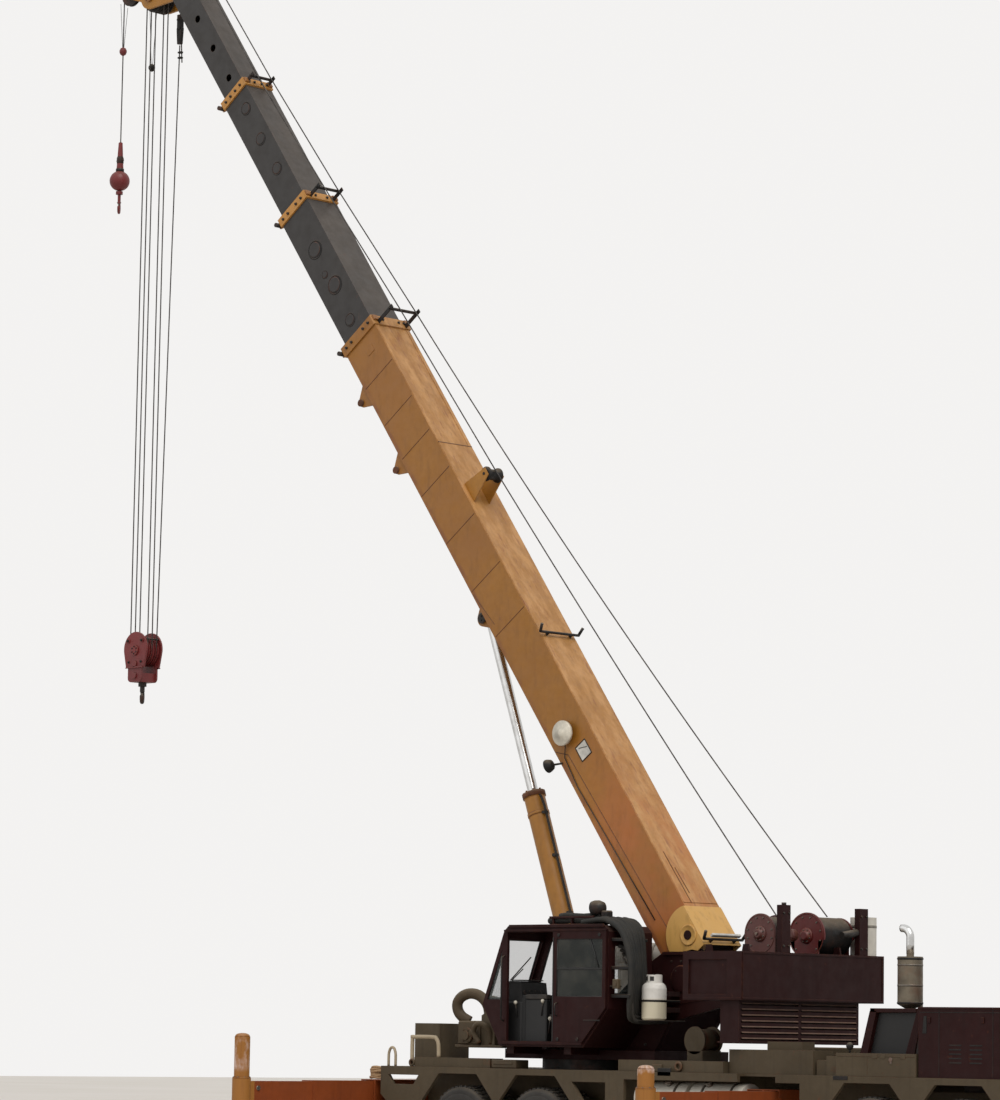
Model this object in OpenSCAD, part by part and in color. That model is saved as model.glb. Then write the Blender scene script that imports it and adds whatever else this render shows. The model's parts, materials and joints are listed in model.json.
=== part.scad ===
// Telescopic truck crane, set down on its outriggers with the boom over the rear.
// Every length is in millimetres. X runs from the slew axis to the carrier's front bumper,
// Y to the carrier's left side and Z up from the ground.

/* [Carrier] */
// Width over the carrier's deck
carrier_w = 2600; // [2400:50:3000]
// Height of the deck above the ground
deck_z = 1350; // [1300:10:1450]
// Thickness of the deck plate
deck_t = 30; // [10:5:60]
// Rear end of the deck, behind the slew axis
deck_rear = -2580; // [-2700:10:-2400]
// Front end of the deck
deck_front = 7760; // [7700:10:8000]
// Lowest edge of the side skirts
skirt_z = 860; // [800:10:950]
// Thickness of the side skirts
skirt_t = 50; // [20:5:80]
// Half the distance between the outer faces of the main rails
rail_y = 430; // [380:10:460]
// Width of one main rail
rail_w = 90; // [60:5:120]
// Underside of the main rails
rail_z = 880; // [820:10:950]

/* [Wheels] */
// Places of the axles along the carrier
rear_axle_1 = -1164; // [-1250:10:-1100]
rear_axle_2 = 217; // [150:10:300]
front_axle_1 = 5605; // [5500:10:5700]
front_axle_2 = 6956; // [6900:10:7050]
// Outer diameter of a tyre
tyre_d = 1120; // [1080:10:1160]
// Width of one tyre
tyre_w = 300; // [260:10:320]
// Diameter of the rim that a tyre sits on
rim_d = 560; // [500:10:600]
// Distance between the middles of twin tyres
twin_pitch = 340; // [330:5:370]
// Distance from the middle of the crane to the outer face of the tyres
track_y = 1260; // [1230:10:1290]
// Half width of a wheel arch at its flat top and at its foot
arch_top = 340; // [300:10:400]
arch_foot = 640; // [620:10:660]
// Height of an arch's flat top and of the corner where its slope ends
arch_z = 1270; // [1220:10:1300]
arch_corner_z = 930; // [900:10:1000]

/* [Outriggers] */
// Places of the two outrigger boxes along the carrier
box_rear_x = -2830; // [-2900:10:-2800]
box_front_x = 3900; // [3850:10:3950]
// Half the length of an outrigger box across the carrier
box_y = 1170; // [1100:10:1180]
// Height of the beams' lower and upper faces
beam_lo = 870; // [850:10:900]
beam_hi = 1150; // [1120:10:1180]
// Width of one beam
beam_w = 220; // [180:10:240]
// Distance from the middle of the crane to a jack, with the beams out
jack_y = 3400; // [3200:50:3500]
// Outer diameter of a jack's tube
jack_d = 200; // [160:5:210]
// Top of a jack's tube at the rear and at the front
jack_top = 1700; // [1600:10:1750]
jack_top_front = 1400; // [1380:10:1500]
// Lower end of a jack's tube
jack_low = 560; // [500:10:600]
// Diameter of a float
float_d = 460; // [400:10:520]

/* [Superstructure] */
// Upper face of the turntable's floor plate
table_z = 1600; // [1580:10:1620]
// Inner and outer faces of the turntable's side frames
frame_in = 420; // [400:5:430]
frame_out = 480; // [470:5:500]
// Rear face of the superstructure
tail_x = 3700; // [3600:20:3800]
// Width of the counterweight
tail_w = 2700; // [2400:50:2800]
// Underside and upper face of the counterweight
tail_lo = 2230; // [2200:10:2260]
tail_hi = 2820; // [2780:10:2860]
// Place and height of the boom's foot pin
pivot_x = 1940; // [1900:10:1980]
pivot_z = 3050; // [3000:10:3100]
// Place and height of the lift cylinder's foot pin
cyl_x = -50; // [-100:10:0]
cyl_z = 1900; // [1880:10:1950]
// Axis of the winch drums
winch_x = 3300; // [3250:10:3350]
winch_z = 3050; // [3040:10:3100]
// Diameter of the winches' end plates
winch_d = 580; // [540:10:600]

/* [Cab of the superstructure] */
// Near side and inner side of the operator's cab
opcab_y0 = -1320; // [-1340:10:-1300]
opcab_y1 = -520; // [-540:10:-510]
// Floor and roof of the operator's cab
opcab_z0 = 1630; // [1620:10:1650]
opcab_z1 = 3150; // [3130:10:3180]
// Thickness of the cab's walls
opcab_t = 40; // [20:5:50]

/* [Boom] */
// Angle of the boom above the ground
boom_angle = 54.05; // [54:0.05:54.1]
// Height and width of the base section
base_h = 675; // [660:5:700]
base_w = 660; // [640:5:700]
// Distance from the foot pin's line up to the base section's back face
base_back = 145; // [130:5:160]
// Length from the foot pin to the front of the base section's collar
base_len = 10450; // [10300:50:10600]
// Plate of the boom sections
boom_t = 10; // [8:1:14]
// Step from one section to the next, on each face
boom_step = 40; // [38:1:44]
// How far each telescoped section stands out at rest
out_1 = 2440; // [2300:20:2500]
out_2 = 2310; // [2200:20:2400]
out_3 = 2100; // [2000:20:2200]
// Length of a telescoped section
section_len = 9700; // [9500:50:9800]
// Distance from the last section's end to the main sheaves' axis
head_out = 440; // [400:10:480]
// How far the main sheaves' axis lies below the foot pin's line
head_drop = 750; // [720:10:780]

/* [Hoists] */
// Diameter of the sheaves at the rope's groove and at the rim
sheave_pitch = 380; // [360:10:400]
sheave_rim = 440; // [430:10:460]
// Distance between sheaves on one axis
sheave_gap = 85; // [80:1:100]
// Diameter of the ropes
rope_d = 18; // [14:1:22]
// Height of the hook block's sheave axis above the ground
block_z = 7250; // [6500:10:7400]
// Height of the ball's centre above the ground
ball_z = 14330; // [14000:10:14600]
// Diameter of the ball
ball_d = 300; // [280:10:340]

/* [Hidden] */
$fn = 48;

// Colours
maroon = "#4e2428";
taupe = "#857a6c";
ochre = "#c08d42";
orange = "#c06a2c";
charcoal = "#403a36";
black = "#232222";
steel = "#9a9a98";
white = "#d8d5cc";
red = "#7a2a28";

// Clearances
run_gap = 6;
seat_gap = 0.3;

// Sizes that follow from the ones above
half_w = carrier_w / 2;
tyre_r = tyre_d / 2;
rail_in = rail_y - rail_w;
front_axles_x = [front_axle_1, front_axle_2];
rear_axles_x = [rear_axle_1, rear_axle_2];
boxes_x = [box_rear_x, box_front_x];
beam_z = (beam_lo + beam_hi) / 2;
beam_h = beam_hi - beam_lo;

// Puts a module in the part's own frame
module place() translate([slew_x, 0, 0]) children();

// A block given by its low and high corners
module block(lo, hi) translate(lo) cube([hi[0] - lo[0], hi[1] - lo[1], hi[2] - lo[2]]);

// The same piece on both sides of the crane
module both() {
    children();
    mirror([0, 1, 0]) children();
}

// A cylinder along Y, centred
module round_y(d, w) rotate([90, 0, 0]) cylinder(d = d, h = w, center = true);

// A side outline, drawn in X and Z, given a width along Y from y0 to y1
module side_plate(y0, y1) translate([0, y1, 0]) rotate([90, 0, 0]) linear_extrude(y1 - y0) children();

// Carrier

rail_top = deck_z - deck_t - seat_gap;
rail_front = deck_front + 500;
beam_side = 130;
tube_wall = 12;
box_half = beam_side + beam_w / 2 + 4 + tube_wall;
rail_rear = box_rear_x + box_half + seat_gap;
cross_places = [-2250, -500, 900, 2300, 4900, 6150, 8100];

// The room that an outrigger box takes
module box_space(x) block([x - box_half - seat_gap, -box_y, beam_lo - tube_wall - 2 * seat_gap],
                          [x + box_half + seat_gap, box_y, beam_hi + run_gap + tube_wall + seat_gap]);

module chassis_rails() color(taupe) place() {
    for (x = cross_places)
        block([x - 40, -rail_y + 10, rail_z + 60], [x + 40, rail_y - 10, rail_z + 260]);
    difference() {
        union() {
            both() block([rail_rear, rail_in, rail_z], [rail_front, rail_y, 1180]);
            both() block([rail_rear, rail_in, 1170], [5800, rail_y, rail_top]);
        }
        both() block([deck_rear, rail_in - 1, rail_z + 20], [rail_front + 1, rail_y - 20, 1160]);
        box_space(box_front_x);
    }
}

module arch(x) polygon([
    [x - arch_foot - 20, skirt_z - 100], [x - arch_foot, arch_corner_z], [x - arch_top, arch_z],
    [x + arch_top, arch_z], [x + arch_foot, arch_corner_z], [x + arch_foot + 20, skirt_z - 100]
]);

// Open bays of the side skirts: low x, high x, top
bays = [[1740, 4580, 1250]];
// Slanted openings of the side skirts: low x, high x, slant at each end, top, bottom
recesses = [[-2440, -1880, 90, 90, 1240, 1120], [850, 1430, 245, 0, 1205, 900]];
notch_half = 300;
notch_depth = 130;

module skirt_outline() difference() {
    polygon([
        [deck_rear, deck_z - deck_t - seat_gap], [deck_rear, arch_corner_z + 60],
        [deck_rear + 160, skirt_z], [deck_front, skirt_z], [deck_front, deck_z - deck_t - seat_gap]
    ]);
    for (x = rear_axles_x) arch(x);
    for (x = front_axles_x) arch(x);
    for (b = bays) translate([b[0], skirt_z - 1]) square([b[1] - b[0], b[2] - skirt_z + 1]);
    for (r = recesses) polygon([[r[0], r[4]], [r[1], r[4]], [r[1] - r[3], r[5]], [r[0] + r[2], r[5]]]);
}

module deck_and_skirts() color(taupe) place() {
    difference() {
        block([deck_rear, -half_w, deck_z - deck_t], [5850, half_w, deck_z]);
        for (s = [-1, 1])
            translate([box_front_x - notch_half, s > 0 ? half_w - notch_depth : -half_w - 1, 0])
                cube([2 * notch_half, notch_depth + 1, 3000]);
        for (x = rear_axles_x)
            translate([x - 170, -250, 0]) cube([340, 500, 3000]);
    }
    both() block([5850 + seat_gap, rail_y + 20, deck_z - deck_t], [deck_front, half_w, deck_z]);
    both() difference() {
        side_plate(half_w - skirt_t, half_w) skirt_outline();
        translate([box_front_x - notch_half, half_w - skirt_t - 1, 0])
            cube([2 * notch_half, skirt_t + 2, 3000]);
    }
}

// Outriggers: each box holds two tubes side by side, one for each beam
module box_tubes(x) difference() {
    block([x - box_half, -box_y, beam_lo - seat_gap - tube_wall],
          [x + box_half, box_y, beam_hi + run_gap + tube_wall]);
    for (s = [-1, 1])
        block([x + s * beam_side - beam_w / 2 - 4, -box_y - 1, beam_lo - seat_gap],
              [x + s * beam_side + beam_w / 2 + 4, box_y + 1, beam_hi + run_gap]);
}

module outrigger_boxes() color(orange) place() for (x = boxes_x) box_tubes(x);

// Tanks in the open bay, on saddles that reach out from the rails
tank_d = 400;
tank_y = 1030;
tank_z = 1030;
tank_ends = [[1850, 2680], [2750, 3590]];

module side_tanks() color(white) place() both() for (t = tank_ends) {
    translate([t[0], tank_y, tank_z]) rotate([0, 90, 0]) cylinder(d = tank_d, h = t[1] - t[0]);
    for (x = [t[0] + 150, t[1] - 150])
        block([x - 30, rail_y + seat_gap, tank_z - 90], [x + 30, tank_y - 150, tank_z + 90]);
}

// Engine and its hood, beside the driver's cab
hood_x0 = 5900;
hood_step_x = 6360;
hood_x1 = deck_front + 540;
hood_y0 = -1280;
hood_front_y = -940;
hood_y1 = 180;
hood_top = 2165;
hood_slant = 180;
hood_t = 20;
hood_low = deck_z + seat_gap;

engine_x = 6300;
engine_len = 1200;
engine_low = 780;
engine_high = 1900;

module engine_block() color(black) place() {
    block([engine_x, -rail_in + seat_gap, engine_low], [engine_x + engine_len, rail_in - seat_gap, rail_top]);
    block([engine_x, -rail_in + seat_gap, rail_top - 10], [engine_x + engine_len, hood_y1 - 40, engine_high]);
}

// The hood's front part is narrow and slanted, the rest is as wide as the carrier
module hood_body(t) {
    side_plate(hood_front_y + t, hood_y1 - t) polygon([
        [hood_x0 + t, hood_low - 3 * t], [hood_x0 + t, 1630], [hood_x0 + hood_slant + t, hood_top - t],
        [hood_x1 - t, hood_top - t], [hood_x1 - t, hood_low - 3 * t]
    ]);
    block([hood_step_x + t, hood_y0 + t, hood_low - 3 * t], [hood_x1 - t, hood_y1 - t, hood_top - t]);
}

module engine_hood() color(maroon) place() difference() {
    hood_body(0);
    hood_body(hood_t);
    for (i = [0:6])
        block([hood_x1 - 60, hood_y0 + 160, 1450 + i * 85], [hood_x1 + 10, hood_y1 - 160, 1500 + i * 85]);
}

// Exhaust: a standing silencer with a bent tail pipe
stack_x = 5785;
stack_y = -720;
stack_d = 300;

module exhaust_stack() color(taupe) place() translate([stack_x, stack_y, 0]) {
    translate([0, 0, deck_z + seat_gap]) cylinder(d = 120, h = 860);
    translate([0, 0, 2200]) cylinder(d = stack_d, h = 560);
    translate([0, 0, 2150]) cylinder(d1 = 120, d2 = stack_d, h = 50);
    translate([0, 0, 2750]) cylinder(d = 90, h = 235);
    translate([-110, 0, 2985]) rotate([-90, 0, 0]) rotate([0, 0, -90])
        rotate_extrude(angle = 90) translate([110, 0]) circle(d = 90);
    block([-25, 170, deck_z + seat_gap], [25, 210, 2560]);
    block([-20, 60, 2400], [20, 171, 2440]);
}

// Driver's cab: one seat, on the left, ahead of the front axles
dcab_x0 = deck_front - 780;
dcab_x1 = deck_front + 720;
dcab_y0 = 220;
dcab_y1 = 1290;
dcab_z0 = 1181;
dcab_z1 = 2640;
dcab_t = 35;
door_x0 = dcab_x0 + 300;
door_x1 = dcab_x0 + 1180;
door_z0 = 1400;
door_z1 = 2540;

module dcab_profile() polygon([
    [dcab_x0, deck_z + seat_gap], [dcab_x0, dcab_z1 - 40], [dcab_x0 + 60, dcab_z1], [dcab_x1 - 300, dcab_z1],
    [dcab_x1 - 240, dcab_z1 - 50], [dcab_x1, 1850], [dcab_x1, dcab_z0], [deck_front + seat_gap, dcab_z0],
    [deck_front + seat_gap, deck_z + seat_gap]
]);

module driver_cab() color(maroon) place() {
    for (z = hinge_z) {
        translate([hinge_x, hinge_y, z - 50 - seat_gap]) cylinder(d = 24, h = 50);
        block([hinge_x, dcab_y1 - 1, z - 50 - seat_gap], [door_x1 + 50, dcab_y1 + 12, z - seat_gap]);
    }
    driver_cab_shell();
}

module driver_cab_shell() difference() {
    side_plate(dcab_y0, dcab_y1) dcab_profile();
    side_plate(dcab_y0 + dcab_t, dcab_y1 - dcab_t) offset(delta = -dcab_t) dcab_profile();
    block([door_x0, dcab_y1 - dcab_t - 5, door_z0], [door_x1, dcab_y1 + 5, door_z1]);
    block([door_x0 + 100, dcab_y0 - 5, 1900], [door_x1 - 60, dcab_y0 + dcab_t + 5, 2480]);
    block([dcab_x0 - 5, dcab_y0 + 160, 1950], [dcab_x0 + dcab_t + 5, dcab_y1 - 160, 2480]);
    translate([dcab_x1 - 240, dcab_y0 + 90, 1930]) rotate([0, -18.9, 0])
        translate([150, 0, 0]) cube([320, dcab_y1 - dcab_y0 - 180, 600]);
}

hinge_x = door_x1 - 3;
hinge_y = dcab_y1 + 14;
hinge_z = [1550, 2350];

module driver_door() color(maroon) place() {
    difference() {
        block([door_x0 + run_gap, dcab_y1 - dcab_t, door_z0 + run_gap],
              [door_x1 - run_gap, dcab_y1, door_z1 - run_gap]);
        block([door_x0 + 90, dcab_y1 - dcab_t - 5, 1900], [door_x1 - 90, dcab_y1 + 5, door_z1 - 80]);
    }
    for (z = hinge_z) {
        translate([hinge_x, hinge_y, z]) cylinder(d = 24, h = 50);
        block([door_x1 - 60, dcab_y1 - 1, z], [hinge_x, dcab_y1 + 12, z + 50]);
    }
}

module seat(x, y, z, dir) translate([x, y, z]) mirror([dir < 0 ? 1 : 0, 0, 0]) {
    block([-200, -200, 0], [200, 200, 260]);
    block([-250, -230, 260], [250, 230, 380]);
    translate([-200, -220, 360]) rotate([0, -12, 0]) block([-110, 0, 0], [0, 440, 620]);
}

module driver_seat() color(black) place() {
    seat(dcab_x0 + 520, (dcab_y0 + dcab_y1) / 2, deck_z + 2 * seat_gap + dcab_t, 1);
}

module front_bumper() color(taupe) place() {
    difference() {
        block([rail_front + seat_gap, -1280, 760], [rail_front + 60, 200, 1060]);
        for (y = [-900, -200])
            translate([rail_front - 1, y, 910]) rotate([0, 90, 0]) cylinder(d = 120, h = 70);
    }
    block([rail_front + seat_gap, 200, 760], [rail_front + 60, 1280, 990]);
    for (y = [-420, 420]) difference() {
        block([rail_front + 60, y - 30, 820], [rail_front + 220, y + 30, 960]);
        translate([rail_front + 150, y, 890]) round_y(70, 100);
    }
}

// Boxes on the deck: low corner, high corner; each sits on the deck
deck_items = [
    [[1600, -1250, 0], [3330, -1000, 140]],
    [[3345, -1160, 0], [4670, -780, 290]],
    [[3850, -1040, 280], [4400, -810, 390]],
    [[4700, -1130, 0], [4870, -950, 180]],
    [[4900, -1190, 0], [5090, -960, 230]],
    [[5130, -1290, 0], [6330, -960, 270]],
    [[-2020, -1240, 0], [-640, -1000, 120]],
    [[-2300, -960, 0], [-1840, -420, 560]],
    [[1700, 950, 0], [2900, 1250, 80]],
    [[4400, 700, 0], [5700, 1260, 260]],
];

module deck_boxes() color(taupe) place() translate([0, 0, deck_z + seat_gap])
    for (b = deck_items) block(b[0], b[1]);

// Axles, with their differentials, springs and the rear walking beams
axle_d = 150;
hub_bore = 76;
spindle_d = hub_bore - 2 * seat_gap;
spring_y = 520;

module leaf_spring(x, z) for (i = [0:3])
    block([x - 560 + i * 110, spring_y - 40, z - 18 * i - 18], [x + 560 - i * 110, spring_y + 40, z - 18 * i]);

module rear_axles() color(black) place() {
    for (x = rear_axles_x) {
        translate([x, 0, tyre_r]) round_y(axle_d, 2 * (track_y - tyre_w - twin_pitch - 20));
        translate([x, 0, tyre_r]) round_y(spindle_d, 2 * (track_y - 80));
        translate([x, 0, tyre_r]) sphere(d = 360);
    }
    translate([rear_axle_1, 0, tyre_r]) rotate([0, 90, 0]) cylinder(d = 120, h = pinion_x - rear_axle_1);
    both() {
        side_plate(spring_y - 45, spring_y + 45)
            polygon([[rear_axle_1 - 90, 640], [rear_axle_1 - 90, 480], [rear_axle_2 + 90, 480],
                     [rear_axle_2 + 90, 640], [(rear_axle_1 + rear_axle_2) / 2 + 140, 800],
                     [(rear_axle_1 + rear_axle_2) / 2 - 140, 800]]);
        block([(rear_axle_1 + rear_axle_2) / 2 - 120, rail_y + seat_gap, 700],
              [(rear_axle_1 + rear_axle_2) / 2 + 120, spring_y + 46, 1100]);
    }
}

kingpin_y = 880;
axle_front_d = 120;

module front_axles() color(black) place() for (x = front_axles_x) {
    translate([x, 0, tyre_r - 20]) round_y(axle_front_d, 2 * (kingpin_y - 90));
    both() {
        block([x - 60, kingpin_y - 75, tyre_r - 110], [x + 60, kingpin_y + 45, tyre_r - 60]);
        block([x - 60, kingpin_y - 75, tyre_r + 50], [x + 60, kingpin_y + 45, tyre_r + 90]);
        block([x - 60, kingpin_y - 120, tyre_r - 110], [x + 60, kingpin_y - 70, tyre_r + 90]);
        translate([x, 0, 0]) leaf_spring(0, 740);
        block([x - 60, spring_y - 45, tyre_r], [x + 60, spring_y + 45, 668]);
        for (s = [-1, 1])
            block([x + s * 540 - 30, rail_y + seat_gap, 739], [x + s * 540 + 30, spring_y + 40, 960]);
    }
}

pinion_x = rear_axle_2 + 240;
transfer_x = 3400;

module drive_shaft() color(steel) place() {
    translate([pinion_x + seat_gap, 0, tyre_r]) rotate([0, 90, 0]) cylinder(d = 110, h = transfer_x - pinion_x);
    block([transfer_x, -200, 480], [transfer_x + 200, 200, 860]);
    translate([transfer_x + 199, 0, 810]) rotate([0, 90, 0])
        cylinder(d = 90, h = engine_x - transfer_x - 199 - seat_gap);
}

// Steering knuckle: a block on the king pin with a stub that carries the wheel
module knuckle(x, side) color(black) place() mirror([0, side < 0 ? 1 : 0, 0]) {
    translate([x, kingpin_y, tyre_r - 60 + seat_gap]) cylinder(d = 84, h = 110 - 2 * seat_gap);
    translate([x, kingpin_y, tyre_r]) rotate([-90, 0, 0]) cylinder(d = 70, h = 170);
    translate([x, kingpin_y, tyre_r]) rotate([-90, 0, 0]) cylinder(d = spindle_d, h = track_y - 60 - kingpin_y);
}

// Wheels, drawn about their own axis along Y with the outer face at y = 0
module tyre_ring(w) rotate([90, 0, 0]) rotate_extrude() polygon([
    [rim_d / 2 + seat_gap, 20], [rim_d / 2 + seat_gap, w - 20], [rim_d / 2 + 40, w], [tyre_r - 90, w],
    [tyre_r - 25, w - 25], [tyre_r, w - 60], [tyre_r, 60], [tyre_r - 25, 25], [tyre_r - 90, 0], [rim_d / 2 + 40, 0]
]);

module rim_dish(w, dish) rotate([90, 0, 0]) rotate_extrude() polygon([
    [rim_d / 2, 8], [rim_d / 2, w - 8], [rim_d / 2 - 18, w - 8], [rim_d / 2 - 30, dish + 24],
    [90, dish + 24], [90, dish + 70], [hub_bore / 2, dish + 70], [hub_bore / 2, dish - 40], [90, dish - 40],
    [90, dish],
    [170, dish], [rim_d / 2 - 45, dish - 8], [rim_d / 2 - 22, 8]
]);

module single_wheel(x, side) color(black) place() mirror([0, side < 0 ? 1 : 0, 0])
    translate([x, track_y, tyre_r]) {
        tyre_ring(tyre_w);
        rim_dish(tyre_w, 80);
    }

module twin_wheel(x, side) color(black) place() mirror([0, side < 0 ? 1 : 0, 0])
    translate([x, track_y, tyre_r]) {
        tyre_ring(tyre_w);
        rim_dish(tyre_w, 190);
        translate([0, -twin_pitch, 0]) {
            tyre_ring(tyre_w);
            rim_dish(tyre_w, 110);
        }
        rotate([90, 0, 0]) translate([0, 0, 200]) difference() {
            cylinder(d = 200, h = twin_pitch - 60);
            translate([0, 0, -1]) cylinder(d = 160, h = twin_pitch - 58);
        }
    }

// Outriggers. In the front box the two beams have changed places.
function beam_x(x, side) = x + (x < 0 ? side : -side) * beam_side;
function tube_top(x) = x < 0 ? jack_top : jack_top_front;

module beam(x, side) color(orange) place()
    mirror([0, side < 0 ? 1 : 0, 0]) translate([beam_x(x, side), 0, 0]) difference() {
        union() {
            block([-beam_w / 2, jack_y - 2450, beam_lo], [beam_w / 2, jack_y - 1150, beam_hi]);
            block([-beam_w / 2 + 12, jack_y - 1160, beam_lo + 14], [beam_w / 2 - 12, jack_y - 60, beam_hi - 12]);
            translate([0, jack_y, jack_low]) cylinder(d = jack_d, h = tube_top(x) - jack_low);
            translate([0, jack_y, beam_lo - 20]) cylinder(d = jack_d + 40, h = beam_h + 40);
        }
        translate([0, jack_y, jack_low - 1]) cylinder(d = jack_d - 30, h = tube_top(x) - jack_low - 19);
        block([-beam_w / 2 + 12, jack_y - 2451, beam_lo + 12], [beam_w / 2 - 12, jack_y - 1170, beam_hi - 12]);
    }

module jack(x, side) color(steel) place()
    mirror([0, side < 0 ? 1 : 0, 0]) translate([beam_x(x, side), jack_y, 0]) {
        cylinder(d = jack_d - 30 - 2 * seat_gap, h = 950);
        translate([0, 0, 60]) cylinder(d = 150, h = 50);
        cylinder(d = float_d, h = 60);
    }

// Superstructure

ring_top = 1480;

module slew_ring() color(black) place() difference() {
    translate([0, 0, deck_z + seat_gap]) cylinder(d = 1300, h = ring_top - deck_z - 2 * seat_gap);
    translate([0, 0, deck_z - 1]) cylinder(d = 1060, h = 200);
}

cw_x0 = 2750;
table_x0 = -900;
table_x1 = 1700;
table_half = 700;
frame_x1 = cw_x0 - seat_gap;
cross_z = 2200;
pin_d = 120;
cyl_pin_d = 110;
boom_in = base_w / 2 - boom_t;
lug_in = 95;
lug_t = 50;
eye_half = lug_in - seat_gap;

// Outline of a side frame: low and long at the front, raised clear of the deck behind
module frame_outline() polygon([
    [table_x0, table_z - 10], [1500, table_z - 10], [1750, 1960], [frame_x1, 2185], [frame_x1, tail_hi + 20],
    [1650, tail_hi + 20], [1240, 2610], [900, 2330], [620, 2100], [-420, 2100], [table_x0, 1820]
]);

// A lug: a round eye on a foot that reaches back and forward along the plate at height base
module lug_outline(x, z, r, back, front, base) hull() {
    translate([x, z]) circle(r = r);
    translate([x - back, base]) square([back + front, 10]);
}

module turntable() color(maroon) place() {
    difference() {
        union() {
            block([table_x0, -table_half, ring_top], [table_x1, table_half, table_z]);
            both() side_plate(lug_in, lug_in + lug_t) lug_outline(cyl_x, cyl_z, 130, 180, 260, table_z - 10);
        }
        block([-1200, -190, 1000], [cyl_x - 185, 190, table_z + 1]);
        block([cyl_x - 186, -lug_in - 5, 1000], [260, lug_in + 5, table_z + 1]);
    }
    both() side_plate(frame_in, frame_out) frame_outline();
    block([1700, -frame_in - 1, cross_z], [frame_x1, frame_in + 1, cross_z + 40]);
    both() side_plate(boom_in - 60, boom_in - 12) lug_outline(pivot_x, pivot_z, 130, 230, 290, cross_z);
    translate([pivot_x, 0, pivot_z]) round_y(pin_d, base_w + 90);
    both() translate([cyl_x, lug_in + lug_t / 2 + 10, cyl_z]) round_y(cyl_pin_d, lug_t + 18);
}

module counterweight() color(maroon) place() difference() {
    block([cw_x0, -tail_w / 2, tail_lo], [tail_x, tail_w / 2, tail_hi]);
    for (s = [-1, 1]) translate([cw_x0 + 90, s > 0 ? tail_w / 2 - 25 : -tail_w / 2 - 1, tail_lo + 70])
        cube([620, 26, 420]);
}

// Louvred housing under the counterweight, and the posts on top of it
stack_rows = 7;
stack_low = 1710;
stack_ends = [-1280, 980];
stack_depth = 300;
post_places = [-520, 965];
post_top = 3400;

module tail_machinery() color(maroon) place() {
    translate([tail_x - 100 - stack_depth, 0, 0]) difference() {
        block([0, stack_ends[0], stack_low], [stack_depth, stack_ends[1], tail_lo - seat_gap]);
        for (i = [0:stack_rows - 1]) for (y = [[stack_ends[0] + 40, -170], [-130, stack_ends[1] - 40]])
            block([stack_depth - 50, y[0], stack_low + 40 + i * 70], [stack_depth + 1, y[1], stack_low + 72 + i * 70]);
    }
    for (y = post_places) block([tail_x - 94, y - 80, tail_hi + seat_gap], [tail_x - 10, y + 80, post_top]);
}

// Winches: near side, far side, diameter of the near and the far end plate, of the wound drum, half foot
winch_units = [[-560, 230, winch_d - 80, winch_d - 100, 400, 245], [320, 960, winch_d, winch_d - 100, 450, 190]];

// An end plate is a disc that is cut off flat where it stands on the counterweight
module winch_plate(y, d, foot) {
    difference() {
        translate([winch_x, y + 12, winch_z]) round_y(d, 24);
        block([winch_x - d, y - 1, 0], [winch_x + d, y + 25, tail_hi + seat_gap]);
    }
    block([winch_x - foot, y, tail_hi + seat_gap], [winch_x + foot, y + 24, winch_z - 60]);
}

module winches() color(red) place() for (w = winch_units) {
    winch_plate(w[0], w[2], w[5]);
    winch_plate(w[1] - 24, w[3], w[5] - 30);
    translate([winch_x, (w[0] + w[1]) / 2, winch_z]) round_y(w[4], w[1] - w[0] - 2);
}

// Operator's cab
opcab_len_x0 = -710;
opcab_x_end = 1480;
// Doorway: low and high x, low and high z
way_x = [-280, 545];
way_z = [1700, opcab_z1 - 80];
track_lo = opcab_z0 + 60 + seat_gap;
track_hi = opcab_z1 - 70 - seat_gap;

module opcab_outline() polygon([
    [-390, opcab_z0], [1060, opcab_z0], [opcab_x_end, 2110], [opcab_x_end, opcab_z1 - 80],
    [opcab_x_end - 80, opcab_z1], [-270, opcab_z1], [-340, opcab_z1 - 60], [opcab_len_x0, 2160]
]);

module operator_cab() color(maroon) place() difference() {
    union() {
        difference() {
            side_plate(opcab_y0, opcab_y1) opcab_outline();
            side_plate(opcab_y0 + opcab_t, opcab_y1 - opcab_t) offset(delta = -opcab_t) opcab_outline();
        }
        // Track of the sliding door
        block([-380, opcab_y0 - 50, opcab_z0 + 30], [1070, opcab_y0 + 1, opcab_z0 + 60]);
        block([-300, opcab_y0 - 50, track_hi + seat_gap], [1470, opcab_y0 + 1, track_hi + 20]);
        // Feet that reach out from the turntable
        for (x = [-300, 700]) block([x - 60, opcab_y0 + 100, 1540], [x + 60, -table_half - seat_gap, opcab_z0 + 1]);
    }
    block([way_x[0], opcab_y0 - 1, way_z[0]], [way_x[1], opcab_y0 + opcab_t + 1, way_z[1]]);
    // Side windows: far side, the slanted pane ahead of the doorway and the one behind it
    side_plate(opcab_y1 - opcab_t - 1, opcab_y1 + 1)
        polygon([[-520, 2250], [1340, 2250], [1340, 2980], [-250, 2980]]);
    side_plate(opcab_y0 - 1, opcab_y0 + opcab_t + 1) polygon([[-630, 2220], [-370, 2220], [-370, 2860]]);
    block([620, opcab_y0 - 1, 2250], [1400, opcab_y0 + opcab_t + 1, 2980]);
    // Windscreen, rear window and roof window
    side_plate(opcab_y0 + 80, opcab_y1 - 80)
        polygon([[-800, 2240], [-600, 2240], [-310, 2980], [-500, 2980]]);
    block([opcab_x_end - opcab_t - 10, opcab_y0 + 120, 2300], [opcab_x_end + 10, opcab_y1 - 120, 2900]);
    block([-150, opcab_y0 + 120, opcab_z1 - opcab_t - 10], [500, opcab_y1 - 120, opcab_z1 + 10]);
}

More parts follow.
